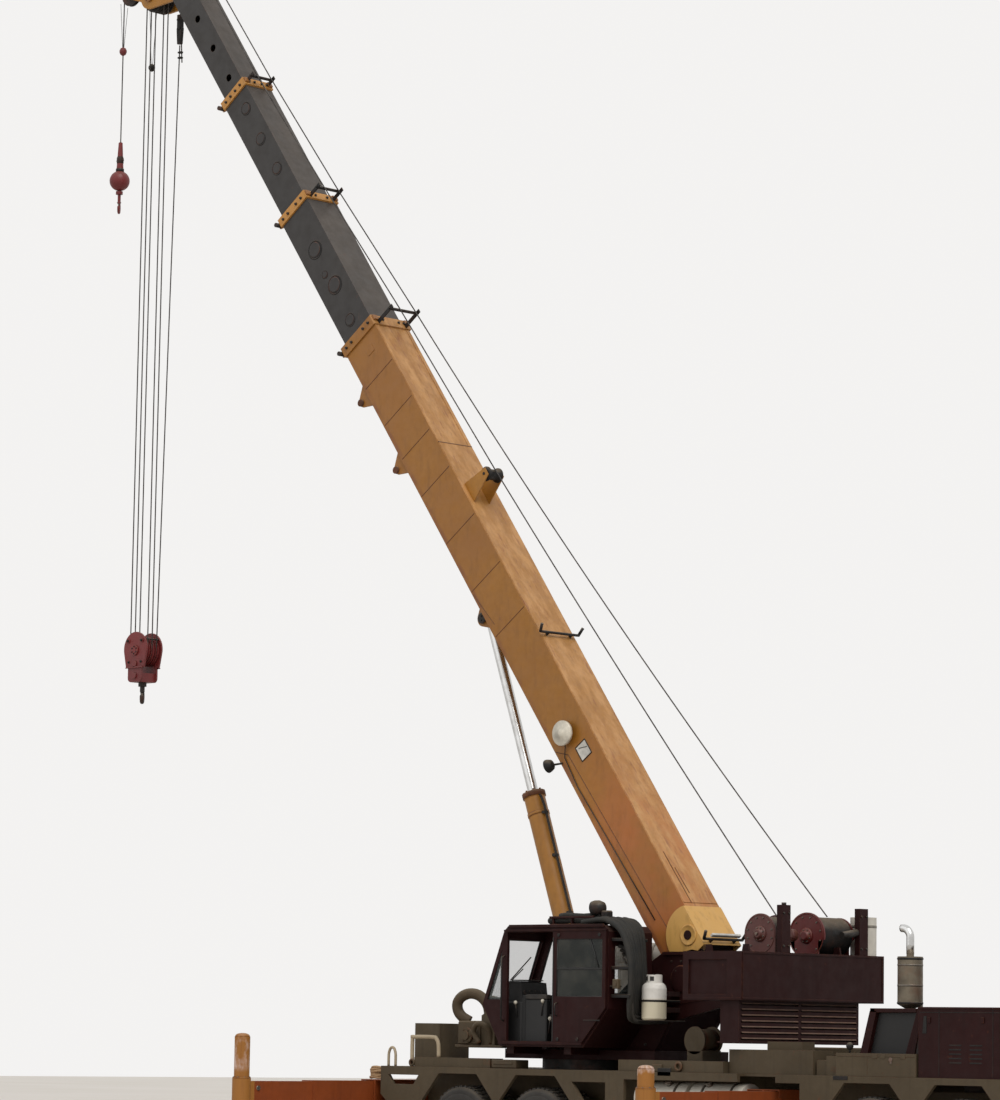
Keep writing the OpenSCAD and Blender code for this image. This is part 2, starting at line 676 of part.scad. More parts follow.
module operator_door() color(maroon) place() difference() {
    side_plate(opcab_y0 - 40, opcab_y0 - run_gap)
        polygon([[555, track_lo], [1070, track_lo], [1465, 2120], [1465, track_hi], [555, track_hi]]);
    side_plate(opcab_y0 - 41, opcab_y0) polygon([[620, 2260], [1410, 2260], [1410, 2980], [620, 2980]]);
}

module operator_seat() color(black) place() {
    translate([0, (opcab_y0 + opcab_y1) / 2, opcab_z0 + opcab_t + seat_gap]) {
        seat(500, 0, 0, -1);
        for (y = [-225, 225]) block([-80, y - 50, 0], [300, y + 50, 620]);
    }
}

// A gas bottle on two brackets from the side frame
bottle_x = 1870;
bottle_y = -900;
bottle_z = 1980;
bottle_d = 310;

module gas_bottle() color(white) place() translate([bottle_x, bottle_y, bottle_z]) {
    rotate_extrude() polygon([
        [0, 0], [bottle_d / 2 - 20, 0], [bottle_d / 2, 20], [bottle_d / 2, 390], [bottle_d / 2 - 12, 430],
        [bottle_d / 2 - 45, 462], [60, 480], [0, 480]
    ]);
    translate([0, 0, 455]) difference() {
        cylinder(d = 200, h = 105);
        translate([0, 0, 30]) cylinder(d = 188, h = 200);
    }
    for (z = [100, 300]) block([-60, 150, z], [60, -bottle_y - frame_out - seat_gap, z + 60]);
}

// Two white tanks: one lying along the far side frame, one standing on the tail
module air_tanks() color(white) place() {
    translate([-300, 700, 2840]) rotate([0, 90, 0]) cylinder(d = 300, h = 1200);
    for (x = [0, 500]) block([x - 30, frame_out + seat_gap, 1900], [x + 30, 700, 2720]);
    translate([tail_x - 200, tail_w / 2 - 165, tail_hi + seat_gap]) cylinder(d = 330, h = 480);
}

// Hoses from the back of the operator's cab down and in to the side frame
hose_d = 46;
hose_top = 2660;
hose_low = 1960;
hose_bend = 120;

module hose_bundle() color(black) place() for (i = [0:2]) {
    r = 230 - i * 48;
    y = -1130 + i * 40;
    low = hose_low + i * 50;
    translate([opcab_x_end + seat_gap, y, hose_top]) rotate([90, 0, 0]) rotate_extrude(angle = 90)
        translate([r, 0]) circle(d = hose_d);
    translate([opcab_x_end + seat_gap + r, y, low + hose_bend]) cylinder(d = hose_d, h = hose_top - low - hose_bend);
    translate([opcab_x_end + seat_gap + r, y + hose_bend, low + hose_bend]) rotate([90, 0, 90]) rotate([0, 0, 180])
        rotate_extrude(angle = 90) translate([hose_bend, 0]) circle(d = hose_d);
    translate([opcab_x_end + seat_gap + r, y + hose_bend, low]) rotate([-90, 0, 0])
        cylinder(d = hose_d, h = -frame_out - seat_gap - y - hose_bend);
}

// Boom. Each section is drawn along its own X, with Z towards the boom's back.

module boom_frame() translate([slew_x + pivot_x, 0, pivot_z]) rotate([0, -boom_angle, 180]) children();

base_low = base_back - base_h;
foot_back = -250;
foot_taper = 700;
eye_s = 5730;
eye_n = -680;
eye_r = 105;

function section_h(i) = base_h - 2 * i * boom_step;
function section_w(i) = base_w - 2 * i * boom_step;
section_mid = base_back - base_h / 2;
fronts = [base_len, base_len + out_1, base_len + out_1 + out_2, base_len + out_1 + out_2 + out_3];

module tube(x0, x1, h, w) difference() {
    block([x0, -w / 2, section_mid - h / 2], [x1, w / 2, section_mid + h / 2]);
    block([x0 - 1, boom_t - w / 2, section_mid - h / 2 + boom_t], [x1 + 1, w / 2 - boom_t, section_mid + h / 2 - boom_t]);
}

// Collar round the front end of a section
module collar(i, long, thick) difference() {
    block([fronts[i] - long, -section_w(i) / 2 - thick, section_mid - section_h(i) / 2 - thick],
          [fronts[i], section_w(i) / 2 + thick, section_mid + section_h(i) / 2 + thick]);
    block([fronts[i] - long - 1, -section_w(i + 1) / 2 - seat_gap, section_mid - section_h(i + 1) / 2 - seat_gap],
          [fronts[i] + 1, section_w(i + 1) / 2 + seat_gap, section_mid + section_h(i + 1) / 2 + seat_gap]);
}

module base_outline() polygon([
    [foot_back, base_back], [base_len, base_back], [base_len, base_low], [60, base_low],
    [-20, base_low + 100], [-180, -60], [foot_back, 10]
]);

module boom_base() color(ochre) boom_frame() difference() {
    union() {
        difference() {
            side_plate(-base_w / 2, base_w / 2) base_outline();
            block([foot_taper, boom_t - base_w / 2, base_low + boom_t], [base_len + 1, base_w / 2 - boom_t, base_back - boom_t]);
            block([foot_back - 1, -boom_in, base_low - 1], [foot_taper + 1, boom_in, base_back - boom_t]);
        }
        collar(0, 160, 22);
        both() side_plate(base_w / 2 - 1, base_w / 2 + 24) intersection() {
            circle(r = 380);
            base_outline();
        }
        both() side_plate(lug_in, lug_in + lug_t) hull() {
            translate([eye_s, eye_n]) circle(r = 110);
            translate([eye_s - 320, base_low - 1]) square([560, 2]);
        }
    }
    round_y(pin_d + 0.6, 2000);
    translate([eye_s, 0, eye_n]) round_y(cyl_pin_d + 0.6, 400);
}

module section(i, len) {
    tube(fronts[i] - len, fronts[i] - 1, section_h(i), section_w(i));
    collar(i, 130, 22);
}

module boom_section_1() color(charcoal) boom_frame() section(1, section_len);
module boom_section_2() color(charcoal) boom_frame() section(2, section_len - 200);
// Round holes along the sides of the last section: distance from its front end
hole_places = [630, 1235, 1850];

module boom_section_3() color(charcoal) boom_frame() difference() {
    tube(fronts[3] - section_len + 400, fronts[3], section_h(3), section_w(3));
    for (s = hole_places) translate([fronts[3] - s, 0, section_mid + 20]) round_y(110, 1000);
}

// Boom head: two cheeks that carry the main sheaves and the nose sheave
main_s = fronts[3] + head_out;
main_n = -head_drop;
nose_s = main_s + 540;
nose_n = main_n - 410;
head_half = section_w(3) / 2;
sheave_w = 56;
axle_head_d = 70;
nose_cheek = sheave_gap + 33;

module boom_head() color(ochre) boom_frame() {
    both() side_plate(head_half - 40, head_half) difference() {
        union() {
            hull() {
                translate([main_s, main_n]) circle(r = 190);
                translate([fronts[3] + seat_gap, section_mid - section_h(3) / 2]) square([60, section_h(3)]);
            }
        }
        circle(r = 1);
    }
    both() side_plate(nose_cheek, nose_cheek + 28) hull() {
        translate([main_s, main_n]) circle(r = 120);
        translate([nose_s, nose_n]) circle(r = 90);
    }
    block([fronts[3] + seat_gap, -head_half, section_mid - section_h(3) / 2],
          [fronts[3] + 30, head_half, section_mid + section_h(3) / 2]);
    translate([main_s, 0, main_n]) round_y(axle_head_d, 2 * head_half + 40);
    translate([nose_s, 0, nose_n]) round_y(axle_head_d, 2 * nose_cheek + 90);
}

module sheave(d, pitch, w) rotate([90, 0, 0]) translate([0, 0, -w / 2]) rotate_extrude() polygon([
    [axle_head_d / 2 + seat_gap, 0], [d / 2, 0], [d / 2, 6], [(pitch - rope_d) / 2 - seat_gap, w / 2 - 8],
    [(pitch - rope_d) / 2 - seat_gap, w / 2 + 8],
    [d / 2, w - 6], [d / 2, w], [axle_head_d / 2 + seat_gap, w]
]);

module boom_sheaves() color(black) boom_frame() {
    for (y = fall_y) translate([main_s, y, main_n]) sheave(sheave_rim, sheave_pitch, sheave_w);
    translate([nose_s, 0, nose_n]) sheave(sheave_rim - 40, sheave_pitch - 40, sheave_w);
}

// Lift cylinder, drawn from the rod's eye down to its foot
eye_x = pivot_x - eye_s * cos(boom_angle) + eye_n * sin(boom_angle);
eye_z = pivot_z + eye_s * sin(boom_angle) + eye_n * cos(boom_angle);
cyl_len = norm([cyl_x - eye_x, cyl_z - eye_z]);
cyl_lean = atan2(eye_z - cyl_z, cyl_x - eye_x);
rod_d = 140;
barrel_d = 280;
barrel_len = 3230;
barrel_bore = rod_d + 1;
rod_len = 3415;

module cylinder_frame() translate([slew_x + eye_x, 0, eye_z]) rotate([0, cyl_lean, 0]) children();

module lift_rod() color(steel) cylinder_frame() {
    round_y(2 * eye_r, 2 * eye_half);
    round_y(cyl_pin_d, 2 * (lug_in + lug_t + 20));
    rotate([0, 90, 0]) cylinder(d = rod_d, h = rod_len);
}

module lift_barrel() color(ochre) cylinder_frame() translate([cyl_len, 0, 0]) {
    rotate([0, -90, 0]) difference() {
        union() {
            translate([0, 0, 300]) cylinder(d = barrel_d, h = barrel_len - 300);
            translate([0, 0, barrel_len - 70]) cylinder(d = barrel_d + 30, h = 70);
            translate([0, 0, 100]) cylinder(d = 176, h = 140);
            translate([0, 0, 239]) cylinder(d1 = 176, d2 = barrel_d - 20, h = 62);
        }
        translate([0, 0, 310]) cylinder(d = barrel_bore, h = barrel_len);
    }
    round_y(260, 2 * eye_half);
}

// Ropes, hook block and ball. They hang straight down at every boom angle.
function head_x(s, n) = pivot_x - s * cos(boom_angle) + n * sin(boom_angle);
function head_z(s, n) = pivot_z + s * sin(boom_angle) + n * cos(boom_angle);
main_x = head_x(main_s, main_n);
main_z = head_z(main_s, main_n);
nose_x = head_x(nose_s, nose_n);
nose_z = head_z(nose_s, nose_n);
fall_y = [-sheave_gap, 0, sheave_gap];
ball_x = nose_x - (sheave_pitch - 40) / 2;

module main_falls() color(steel) place() for (s = [-1, 1]) for (y = fall_y)
    translate([main_x + s * sheave_pitch / 2, y, block_z]) cylinder(d = rope_d, h = main_z - block_z);

hook_tip = 178;

// Cheek of the hook block: round at the top, tapered, with a narrower yoke below
block_low = 460;

module block_outline() {
    hull() {
        translate([0, 20]) circle(r = 250);
        translate([-195, -250]) square([390, 20]);
    }
    hull() {
        translate([-150, -300]) square([300, 60]);
        for (x = [-90, 90]) translate([x, 60 - block_low]) circle(r = 60);
    }
}

module hook_block() color(red) place() translate([main_x, 0, block_z]) {
    both() side_plate(128, 156) block_outline();
    round_y(axle_head_d, 360);
    for (z = [-200, -370]) translate([0, 0, z]) round_y(50, 350);
    block([-120, -130, -block_low], [120, 130, -330]);
    for (y = fall_y) translate([0, y, 0]) sheave(sheave_rim - 10, sheave_pitch, sheave_w);
}

// A hook's bowl, from its tip round to the foot of its shank at the top
module hook_shape(size, w) rotate([0, 0, 135]) rotate([90, 0, 0]) {
    rotate([0, 0, hook_tip]) rotate_extrude(angle = 450 - hook_tip) translate([size, 0]) circle(d = w);
    rotate([0, 0, hook_tip]) translate([size, 0, 0]) sphere(d = w);
}

module main_hook() color(black) place() translate([main_x, 0, block_z - block_low - seat_gap]) {
    translate([0, 0, -60]) cylinder(d = 120, h = 60);
    translate([0, 0, -140]) cylinder(d = 70, h = 90);
    translate([0, 0, -210]) hook_shape(75, 60);
}

ball_top = 580;

module ball_rope() color(steel) place()
    translate([ball_x, 0, ball_z + ball_top]) cylinder(d = rope_d, h = nose_z - ball_z - ball_top);

module ball_and_hook() color(red) place() translate([ball_x, 0, ball_z]) {
    sphere(d = ball_d);
    translate([0, 0, 130]) cylinder(d1 = 110, d2 = 60, h = ball_top - 130 - seat_gap);
    translate([0, 0, -345]) cylinder(d = 46, h = 215);
    translate([0, 0, -205]) cylinder(d = 104, h = 45);
    translate([0, 0, -410]) hook_shape(70, 40);
}

// The frame's origin is under the middle of the whole crane
slew_x = -(dcab_x1 + ball_x - ball_d / 2) / 2;

chassis_rails();
deck_and_skirts();
outrigger_boxes();
side_tanks();
engine_block();
engine_hood();
exhaust_stack();
driver_cab();
driver_seat();
front_bumper();
deck_boxes();
rear_axles();
front_axles();
drive_shaft();
slew_ring();
driver_door();
knuckle(front_axle_1, -1);  // knuckle_1_right
knuckle(front_axle_1, 1);  // knuckle_1_left
knuckle(front_axle_2, -1);  // knuckle_2_right
knuckle(front_axle_2, 1);  // knuckle_2_left
single_wheel(front_axle_1, -1);  // wheel_front_1_right
single_wheel(front_axle_1, 1);  // wheel_front_1_left
single_wheel(front_axle_2, -1);  // wheel_front_2_right
single_wheel(front_axle_2, 1);  // wheel_front_2_left
twin_wheel(rear_axle_1, -1);  // wheel_rear_1_right
twin_wheel(rear_axle_1, 1);  // wheel_rear_1_left
twin_wheel(rear_axle_2, -1);  // wheel_rear_2_right
twin_wheel(rear_axle_2, 1);  // wheel_rear_2_left
beam(box_rear_x, -1);  // beam_rear_right
beam(box_rear_x, 1);  // beam_rear_left
beam(box_front_x, -1);  // beam_front_right
beam(box_front_x, 1);  // beam_front_left
jack(box_rear_x, -1);  // jack_rear_right
jack(box_rear_x, 1);  // jack_rear_left
jack(box_front_x, -1);  // jack_front_right
jack(box_front_x, 1);  // jack_front_left
turntable();
counterweight();
tail_machinery();
winches();
operator_cab();
operator_seat();
operator_door();
gas_bottle();
air_tanks();
hose_bundle();
boom_base();
boom_section_1();
boom_section_2();
boom_section_3();
boom_head();
boom_sheaves();
lift_rod();
lift_barrel();
main_falls();
hook_block();
main_hook();
ball_rope();
ball_and_hook();
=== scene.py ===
# Looks of the truck crane: materials, ropes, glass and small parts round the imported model
import json
import math

import bmesh
import bpy
from mathutils import Matrix, Vector


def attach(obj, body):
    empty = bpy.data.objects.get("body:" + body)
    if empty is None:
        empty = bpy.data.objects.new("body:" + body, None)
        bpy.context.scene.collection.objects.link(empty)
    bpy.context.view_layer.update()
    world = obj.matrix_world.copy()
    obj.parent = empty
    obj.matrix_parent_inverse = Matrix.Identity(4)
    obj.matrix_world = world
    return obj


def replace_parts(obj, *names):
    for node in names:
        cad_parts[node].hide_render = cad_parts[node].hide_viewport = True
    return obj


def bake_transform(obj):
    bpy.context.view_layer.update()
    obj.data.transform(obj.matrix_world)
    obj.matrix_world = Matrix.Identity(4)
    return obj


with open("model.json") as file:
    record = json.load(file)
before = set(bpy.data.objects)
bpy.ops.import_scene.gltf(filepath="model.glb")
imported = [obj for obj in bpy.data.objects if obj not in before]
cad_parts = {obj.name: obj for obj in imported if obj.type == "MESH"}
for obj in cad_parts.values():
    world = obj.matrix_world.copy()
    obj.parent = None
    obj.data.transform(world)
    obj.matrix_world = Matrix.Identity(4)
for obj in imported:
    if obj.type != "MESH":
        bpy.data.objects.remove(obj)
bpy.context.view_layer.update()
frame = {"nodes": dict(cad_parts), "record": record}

# Everything below is in metres from the slew axis; X is moved by this much on the way out
SLEW_X = 0.7854295


def at(x, y, z):
    return Vector((x + SLEW_X, y, z))


# Boom frame: s along the boom from its foot pin, y to the camera's side, n towards the boom's back
PIVOT = (1.94, 0.0, 3.05)
BOOM = (
    Matrix.Translation(at(*PIVOT))
    @ Matrix.Rotation(math.pi, 4, "Z")
    @ Matrix.Rotation(math.radians(-54.05), 4, "Y")
)


# Materials

def rgb(r, g, b):
    def lin(c):
        c /= 255
        return c / 12.92 if c <= 0.04045 else ((c + 0.055) / 1.055) ** 2.4
    return (lin(r), lin(g), lin(b), 1)


def darker(colour, share):
    return tuple(c * share for c in colour[:3]) + (1,)


INPUTS = {"colour": "Base Color", "specular": "Specular IOR Level"}


class Nodes:
    """Short names for the nodes that the materials share."""

    def __init__(self, name):
        self.mat = bpy.data.materials.new(name)
        self.mat.use_nodes = True
        self.tree = self.mat.node_tree
        self.shader = self.tree.nodes["Principled BSDF"]
        place = self.new("ShaderNodeTexCoord")
        self.coords = place.outputs["Object"]
        self.normal = place.outputs["Normal"]

    def fill(self, socket, value):
        """A number or colour goes on the socket itself, and another node's output is linked."""
        if isinstance(value, bpy.types.NodeSocket):
            self.tree.links.new(value, socket)
        else:
            socket.default_value = value

    def new(self, kind, inputs=None, **values):
        node = self.tree.nodes.new(kind)
        for key, value in values.items():
            setattr(node, key, value)
        for key, value in (inputs or {}).items():
            self.fill(node.inputs[key], value)
        return node

    def put(self, **values):
        """Fills the shader's inputs."""
        for key, value in values.items():
            self.fill(self.shader.inputs[INPUTS.get(key, key.title())], value)

    def noise(self, scale, detail=4, stretch=(1, 1, 1), rough=0.55, shift=0.0):
        mapping = self.new("ShaderNodeMapping", {
            "Scale": stretch, "Location": (shift, shift * 0.7, shift * 1.3), "Vector": self.coords})
        return self.new("ShaderNodeTexNoise", {
            "Scale": scale, "Detail": detail, "Roughness": rough,
            "Vector": mapping.outputs[0]}).outputs["Fac"]

    def ramp(self, value, low, high, to=(0, 1)):
        return self.new("ShaderNodeMapRange", {
            "From Min": low, "From Max": high, "To Min": to[0], "To Max": to[1], "Value": value,
        }, clamp=True).outputs["Result"]

    def math(self, kind, a, b):
        return self.new("ShaderNodeMath", {0: a, 1: b}, operation=kind, use_clamp=True).outputs[0]

    def times(self, a, b):
        return self.math("MULTIPLY", a, b)

    def mix(self, fac, a, b):
        node = self.new("ShaderNodeMix", data_type="RGBA")
        self.fill(node.inputs["Factor"], fac)
        for socket, v in zip((i for i in node.inputs if i.type == "RGBA"), (a, b)):
            self.fill(socket, v)
        return [o for o in node.outputs if o.type == "RGBA"][0]

    def bump(self, height, strength, distance, normal=None):
        inputs = {"Strength": strength, "Distance": distance, "Height": height}
        if normal is not None:
            inputs["Normal"] = normal
        return self.new("ShaderNodeBump", inputs).outputs["Normal"]

    def vector(self, kind, a, b=(0, 0, 0)):
        """A sum of two vectors, or of one vector alone."""
        return self.new("ShaderNodeVectorMath", {0: a, 1: b}, operation=kind)

    def along(self, direction, origin=(0, 0, 0)):
        """Distance along a direction from an origin, in the model's rest frame."""
        shift = self.vector("SUBTRACT", self.coords, origin)
        return self.vector("DOT_PRODUCT", shift.outputs[0], direction).outputs["Value"]

    def from_axis(self, origin, axis):
        """Distance from an axis along X, Y or Z through an origin."""
        shift = self.vector("SUBTRACT", self.coords, origin)
        flat = self.vector("MULTIPLY", shift.outputs[0], tuple(0 if a == axis else 1 for a in "XYZ"))
        return self.vector("LENGTH", flat.outputs[0]).outputs["Value"]

    def band(self, value, low, high, soft=0.004):
        """1 where the value lies between low and high."""
        return self.times(self.ramp(value, low - soft, low + soft),
                          self.ramp(value, high + soft, high - soft))

    def facing_back(self):
        """How far a face looks out of the boom's back."""
        return self.vector("DOT_PRODUCT", self.normal, BOOM.col[2].xyz).outputs["Value"]

    def boom_s(self):
        return self.along(BOOM.col[0].xyz, at(*PIVOT))

    def boom_n(self):
        return self.along(BOOM.col[2].xyz, at(*PIVOT))

    def facing_up(self):
        """How far a face looks up, from 0 to 1."""
        split = self.new("ShaderNodeSeparateXYZ", {0: self.normal})
        return self.ramp(split.outputs["Z"], 0.25, 0.9)

    def edges(self, radius):
        """Rounded normal, and a mask that is 1 along sharp edges."""
        bevel = self.new("ShaderNodeBevel", {"Radius": radius}, samples=3)
        dot = self.vector("DOT_PRODUCT", bevel.outputs[0],
                          self.new("ShaderNodeNewGeometry").outputs["True Normal"])
        return bevel.outputs[0], self.ramp(dot.outputs["Value"], 0.995, 0.9)


DUST = rgb(150, 134, 112)
RUST = rgb(104, 58, 34)


def paint(name, colour, worn, rust=0.45, dust=0.5, rough=0.46, run=(5, 5, 0.35), edge=0.006, grime=0.35,
          places=None, shine=0.5, chips=0.8):
    """Old machine paint: patches, runs, rust spots, dust on what looks up, and worn edges.

    places(n, base) may repaint parts of the surface by where they are."""
    n = Nodes(name)
    patches = n.ramp(n.noise(0.9, 6, rough=0.6), 0.32, 0.7)
    base = n.mix(n.times(patches, 0.75), colour, worn)
    mottle = n.ramp(n.noise(14, 5, shift=3), 0.35, 0.75, (0, 0.35))
    base = n.mix(mottle, base, darker(colour, 0.62))
    if places:
        base = places(n, base)
    runs = n.ramp(n.noise(2.6, 5, run, 0.62, 7), 0.52, 0.78, (0, grime))
    base = n.mix(runs, base, darker(colour, 0.35))
    normal, sharp = n.edges(edge)
    spots = n.ramp(n.noise(5.5, 9, rough=0.68, shift=11), 0.66 - 0.09 * rust, 0.74 - 0.06 * rust)
    wear = n.times(sharp, n.ramp(n.noise(9, 5, shift=5), 0.4, 0.62))
    rusty = n.math("MAXIMUM", n.times(spots, rust), n.times(wear, chips))
    base = n.mix(rusty, base, RUST)
    dusty = n.times(n.facing_up(), n.ramp(n.noise(3.2, 5, shift=2), 0.3, 0.7, (dust * 0.35, dust)))
    base = n.mix(dusty, base, DUST)
    n.put(colour=base)
    roughness = n.math("MAXIMUM", n.ramp(n.noise(7, 4, shift=9), 0.3, 0.7, (rough - 0.06, rough + 0.12)),
                       n.times(n.math("MAXIMUM", rusty, dusty), 0.85))
    n.put(roughness=roughness)
    n.put(specular=shine)
    waves = n.bump(n.noise(1.7, 2, shift=4), 0.25, 0.02, normal)
    n.put(normal=n.bump(n.math("ADD", n.noise(60, 3), n.times(rusty, 0.6)), 0.18, 0.002, waves))
    return n.mat


def iron(name, colour, rough=0.6, metallic=0.4, dirt=0.5, scale=8):
    n = Nodes(name)
    base = n.mix(n.ramp(n.noise(scale, 6), 0.35, 0.7), colour, darker(colour, 0.5))
    base = n.mix(n.ramp(n.noise(3, 8, rough=0.7, shift=6), 0.5, 0.72, (0, dirt)), base, RUST)
    base = n.mix(n.times(n.facing_up(), 0.4), base, DUST)
    n.put(colour=base)
    n.put(metallic=metallic)
    n.put(roughness=n.ramp(n.noise(12, 4, shift=3), 0.3, 0.7, (rough - 0.1, rough + 0.15)))
    normal, _ = n.edges(0.004)
    n.put(normal=n.bump(n.noise(45, 4), 0.3, 0.002, normal))
    return n.mat


def rubber(name, colour=rgb(38, 36, 34), dust=0.55):
    n = Nodes(name)
    base = n.mix(n.ramp(n.noise(4, 6), 0.35, 0.7, (0, dust)), colour, rgb(112, 101, 86))
    n.put(colour=base)
    n.put(roughness=0.82)
    n.put(normal=n.bump(n.noise(80, 4), 0.25, 0.001))
    return n.mat


def rope_steel(name):
    """Laid wire: strands wound round the rope's run, seen as slanted ridges."""
    n = Nodes(name)
    base = n.mix(n.ramp(n.noise(5, 4), 0.3, 0.7), rgb(84, 80, 76), rgb(50, 46, 43))
    n.put(colour=base)
    n.put(metallic=0.55)
    n.put(roughness=0.5)
    wave = n.new("ShaderNodeTexWave", {"Scale": 28, "Vector": n.coords},
                 wave_type="BANDS", bands_direction="DIAGONAL")
    n.put(normal=n.bump(wave.outputs["Fac"], 0.8, 0.004))
    return n.mat


def chrome(name, colour=rgb(205, 205, 204), rough=0.16):
    n = Nodes(name)
    n.put(colour=n.mix(n.ramp(n.noise(6, 5), 0.45, 0.8, (0, 0.5)), colour, rgb(120, 112, 102)))
    n.put(metallic=1)
    n.put(roughness=n.ramp(n.noise(18, 4, (1, 1, 0.2)), 0.3, 0.7, (rough, rough + 0.2)))
    return n.mat


def glass(name, tint, alpha, rough=0.08, shine=0.5):
    n = Nodes(name)
    n.put(colour=n.mix(n.ramp(n.noise(3, 5), 0.45, 0.75, (0, 0.25)), tint, rgb(112, 108, 96)))
    n.put(roughness=rough)
    n.put(alpha=alpha)
    n.put(specular=shine)
    return n.mat


def plain(name, colour, rough=0.6, metallic=0.0, scale=10, grain=0.15):
    n = Nodes(name)
    dark = darker(colour, 0.55)
    n.put(colour=n.mix(n.ramp(n.noise(scale, 6), 0.35, 0.75), colour, dark))
    n.put(roughness=rough)
    n.put(metallic=metallic)
    n.put(normal=n.bump(n.noise(scale * 6, 4), grain, 0.002))
    return n.mat


YELLOW = rgb(208, 160, 86)


def boom_places(n, base):
    """Pale disc at the foot pin, rusty back plate, orange patch and streaks low on the sides."""
    s, back = n.boom_s(), n.boom_n()
    low = n.times(n.ramp(s, 3.4, 1.6), n.ramp(n.noise(1.6, 5, shift=1), 0.35, 0.6, (0.1, 0.75)))
    base = n.mix(low, base, rgb(176, 100, 46))
    upper = n.times(n.ramp(s, 5.0, 8.0), n.ramp(n.noise(1.1, 4, shift=8), 0.35, 0.65, (0.1, 0.6)))
    base = n.mix(upper, base, rgb(150, 98, 42))
    top = n.ramp(back, 0.1445, 0.1449)
    worn = n.ramp(n.noise(2.4, 7, (1, 2.2, 1), 0.65, 4), 0.42, 0.62, (0.35, 1))
    base = n.mix(n.times(top, worn), base, rgb(190, 140, 84))
    streak = n.ramp(n.noise(3.0, 8, (1, 5, 1), 0.7, 12), 0.56, 0.66)
    base = n.mix(n.times(n.times(top, streak), 0.75), base, rgb(138, 84, 48))
    edge_rust = n.times(n.band(back, -0.53, -0.47, 0.02),
                        n.ramp(n.noise(3, 6, shift=15), 0.42, 0.62, (0, 0.6)))
    base = n.mix(edge_rust, base, rgb(112, 60, 34))
    disc = n.ramp(n.from_axis(at(*PIVOT), "Y"), 0.382, 0.376)
    return n.mix(disc, base, YELLOW)


def section_places(n, base, collar_end=None):
    """A dusty back, and the ochre collar at a section's own end."""
    dusty = n.times(n.ramp(n.facing_back(), 0.5, 0.8),
                    n.ramp(n.noise(2.2, 6, shift=3), 0.3, 0.7, (0.35, 0.8)))
    base = n.mix(dusty, base, rgb(74, 65, 57))
    if collar_end:
        collar = n.band(n.boom_s(), collar_end - 0.135, collar_end + 0.001, 0.003)
        base = n.mix(collar, base, rgb(190, 134, 62))
    return base


def bottle_places(n, base):
    """The bottle's lower half is creamier, its stays are dark, and its collar has a shaded opening."""
    up, out, lengthways = n.along((0, 0, 1)), n.along((0, 1, 0)), n.along((1, 0, 0))
    base = n.mix(n.ramp(up, 2.26, 2.2), base, rgb(206, 196, 170))
    base = n.mix(n.ramp(out, -0.742, -0.738), base, rgb(34, 18, 16))
    for low, high in ((2.585, 2.640), (2.668, 2.722)):
        inside = n.times(n.ramp(lengthways, low, low + 0.004), n.ramp(lengthways, high, high - 0.004))
        inside = n.times(inside, n.times(n.ramp(up, 2.462, 2.466), n.ramp(up, 2.522, 2.518)))
        base = n.mix(inside, base, rgb(30, 27, 24))
    return base


def winch_places(n, base):
    """The near winch is browner."""
    near = n.ramp(n.along((0, 1, 0)), 0.26, 0.25)
    return n.mix(near, base, rgb(84, 42, 36))


def beam_places(n, base):
    """The jack tubes at the beams' ends are ochre, with a bleached patch near the top."""
    out = n.along((0, 1, 0))
    outer = n.math("MAXIMUM", n.ramp(out, 3.26, 3.27), n.ramp(out, -3.26, -3.27))
    base = n.mix(outer, base, rgb(154, 102, 45))
    bleached = n.times(n.ramp(n.noise(3.4, 4, shift=21), 0.46, 0.6),
                      n.ramp(n.noise(26, 4, (1, 1, 0.3), shift=2), 0.4, 0.6, (0.3, 0.9)))
    high = n.ramp(n.along((0, 0, 1)), 1.25, 1.32)
    return n.mix(n.times(n.times(outer, high), bleached), base, rgb(216, 190, 178))


def float_places(n, base):
    """The ram is bright above its float, and the float is rusty iron."""
    return n.mix(n.ramp(n.along((0, 0, 1)), 0.121, 0.118), base, rgb(92, 66, 44))


COLLAR_ENDS = (10.45, 12.89, 15.20)
WHEEL_X = (-1.164, 0.217, 5.605, 6.956)

OCHRE = paint("ochre_paint", rgb(168, 114, 32), rgb(146, 94, 28), rust=0.35, dust=0.08, run=(4, 4, 1.2))
BOOM_PAINT = paint("boom_paint", rgb(158, 105, 28), rgb(138, 87, 25), rust=0.3, dust=0.05, run=(4, 4, 1.2),
                   places=boom_places)
OCHRE_RUSTY = paint("ochre_rusty", rgb(152, 101, 48), rgb(122, 77, 42), rust=1.0, dust=0.1, run=(4, 4, 1.2))
CHARCOAL = paint("charcoal_paint", rgb(34, 29, 26), rgb(26, 22, 20), rust=0.25, dust=0.06)
SECTION_PAINTS = [
    paint("section_paint_%d" % i, rgb(38, 33, 29), rgb(29, 25, 23), rust=0.25, dust=0.05,
          places=lambda n, base, end=end: section_places(n, base, end))
    for i, end in ((1, COLLAR_ENDS[1]), (2, COLLAR_ENDS[2]), (3, None))
]
MAROON = paint("maroon_paint", rgb(41, 11, 10), rgb(29, 8, 7), rust=0.3, dust=0.08, rough=0.6, grime=0.4,
               shine=0.18)
TAUPE = paint("taupe_paint", rgb(84, 72, 54), rgb(68, 57, 42), rust=0.5, dust=0.3, rough=0.6, shine=0.25)
ORANGE = paint("orange_paint", rgb(142, 68, 27), rgb(110, 50, 21), rust=0.5, dust=0.25, rough=0.55, shine=0.3,
               places=beam_places)
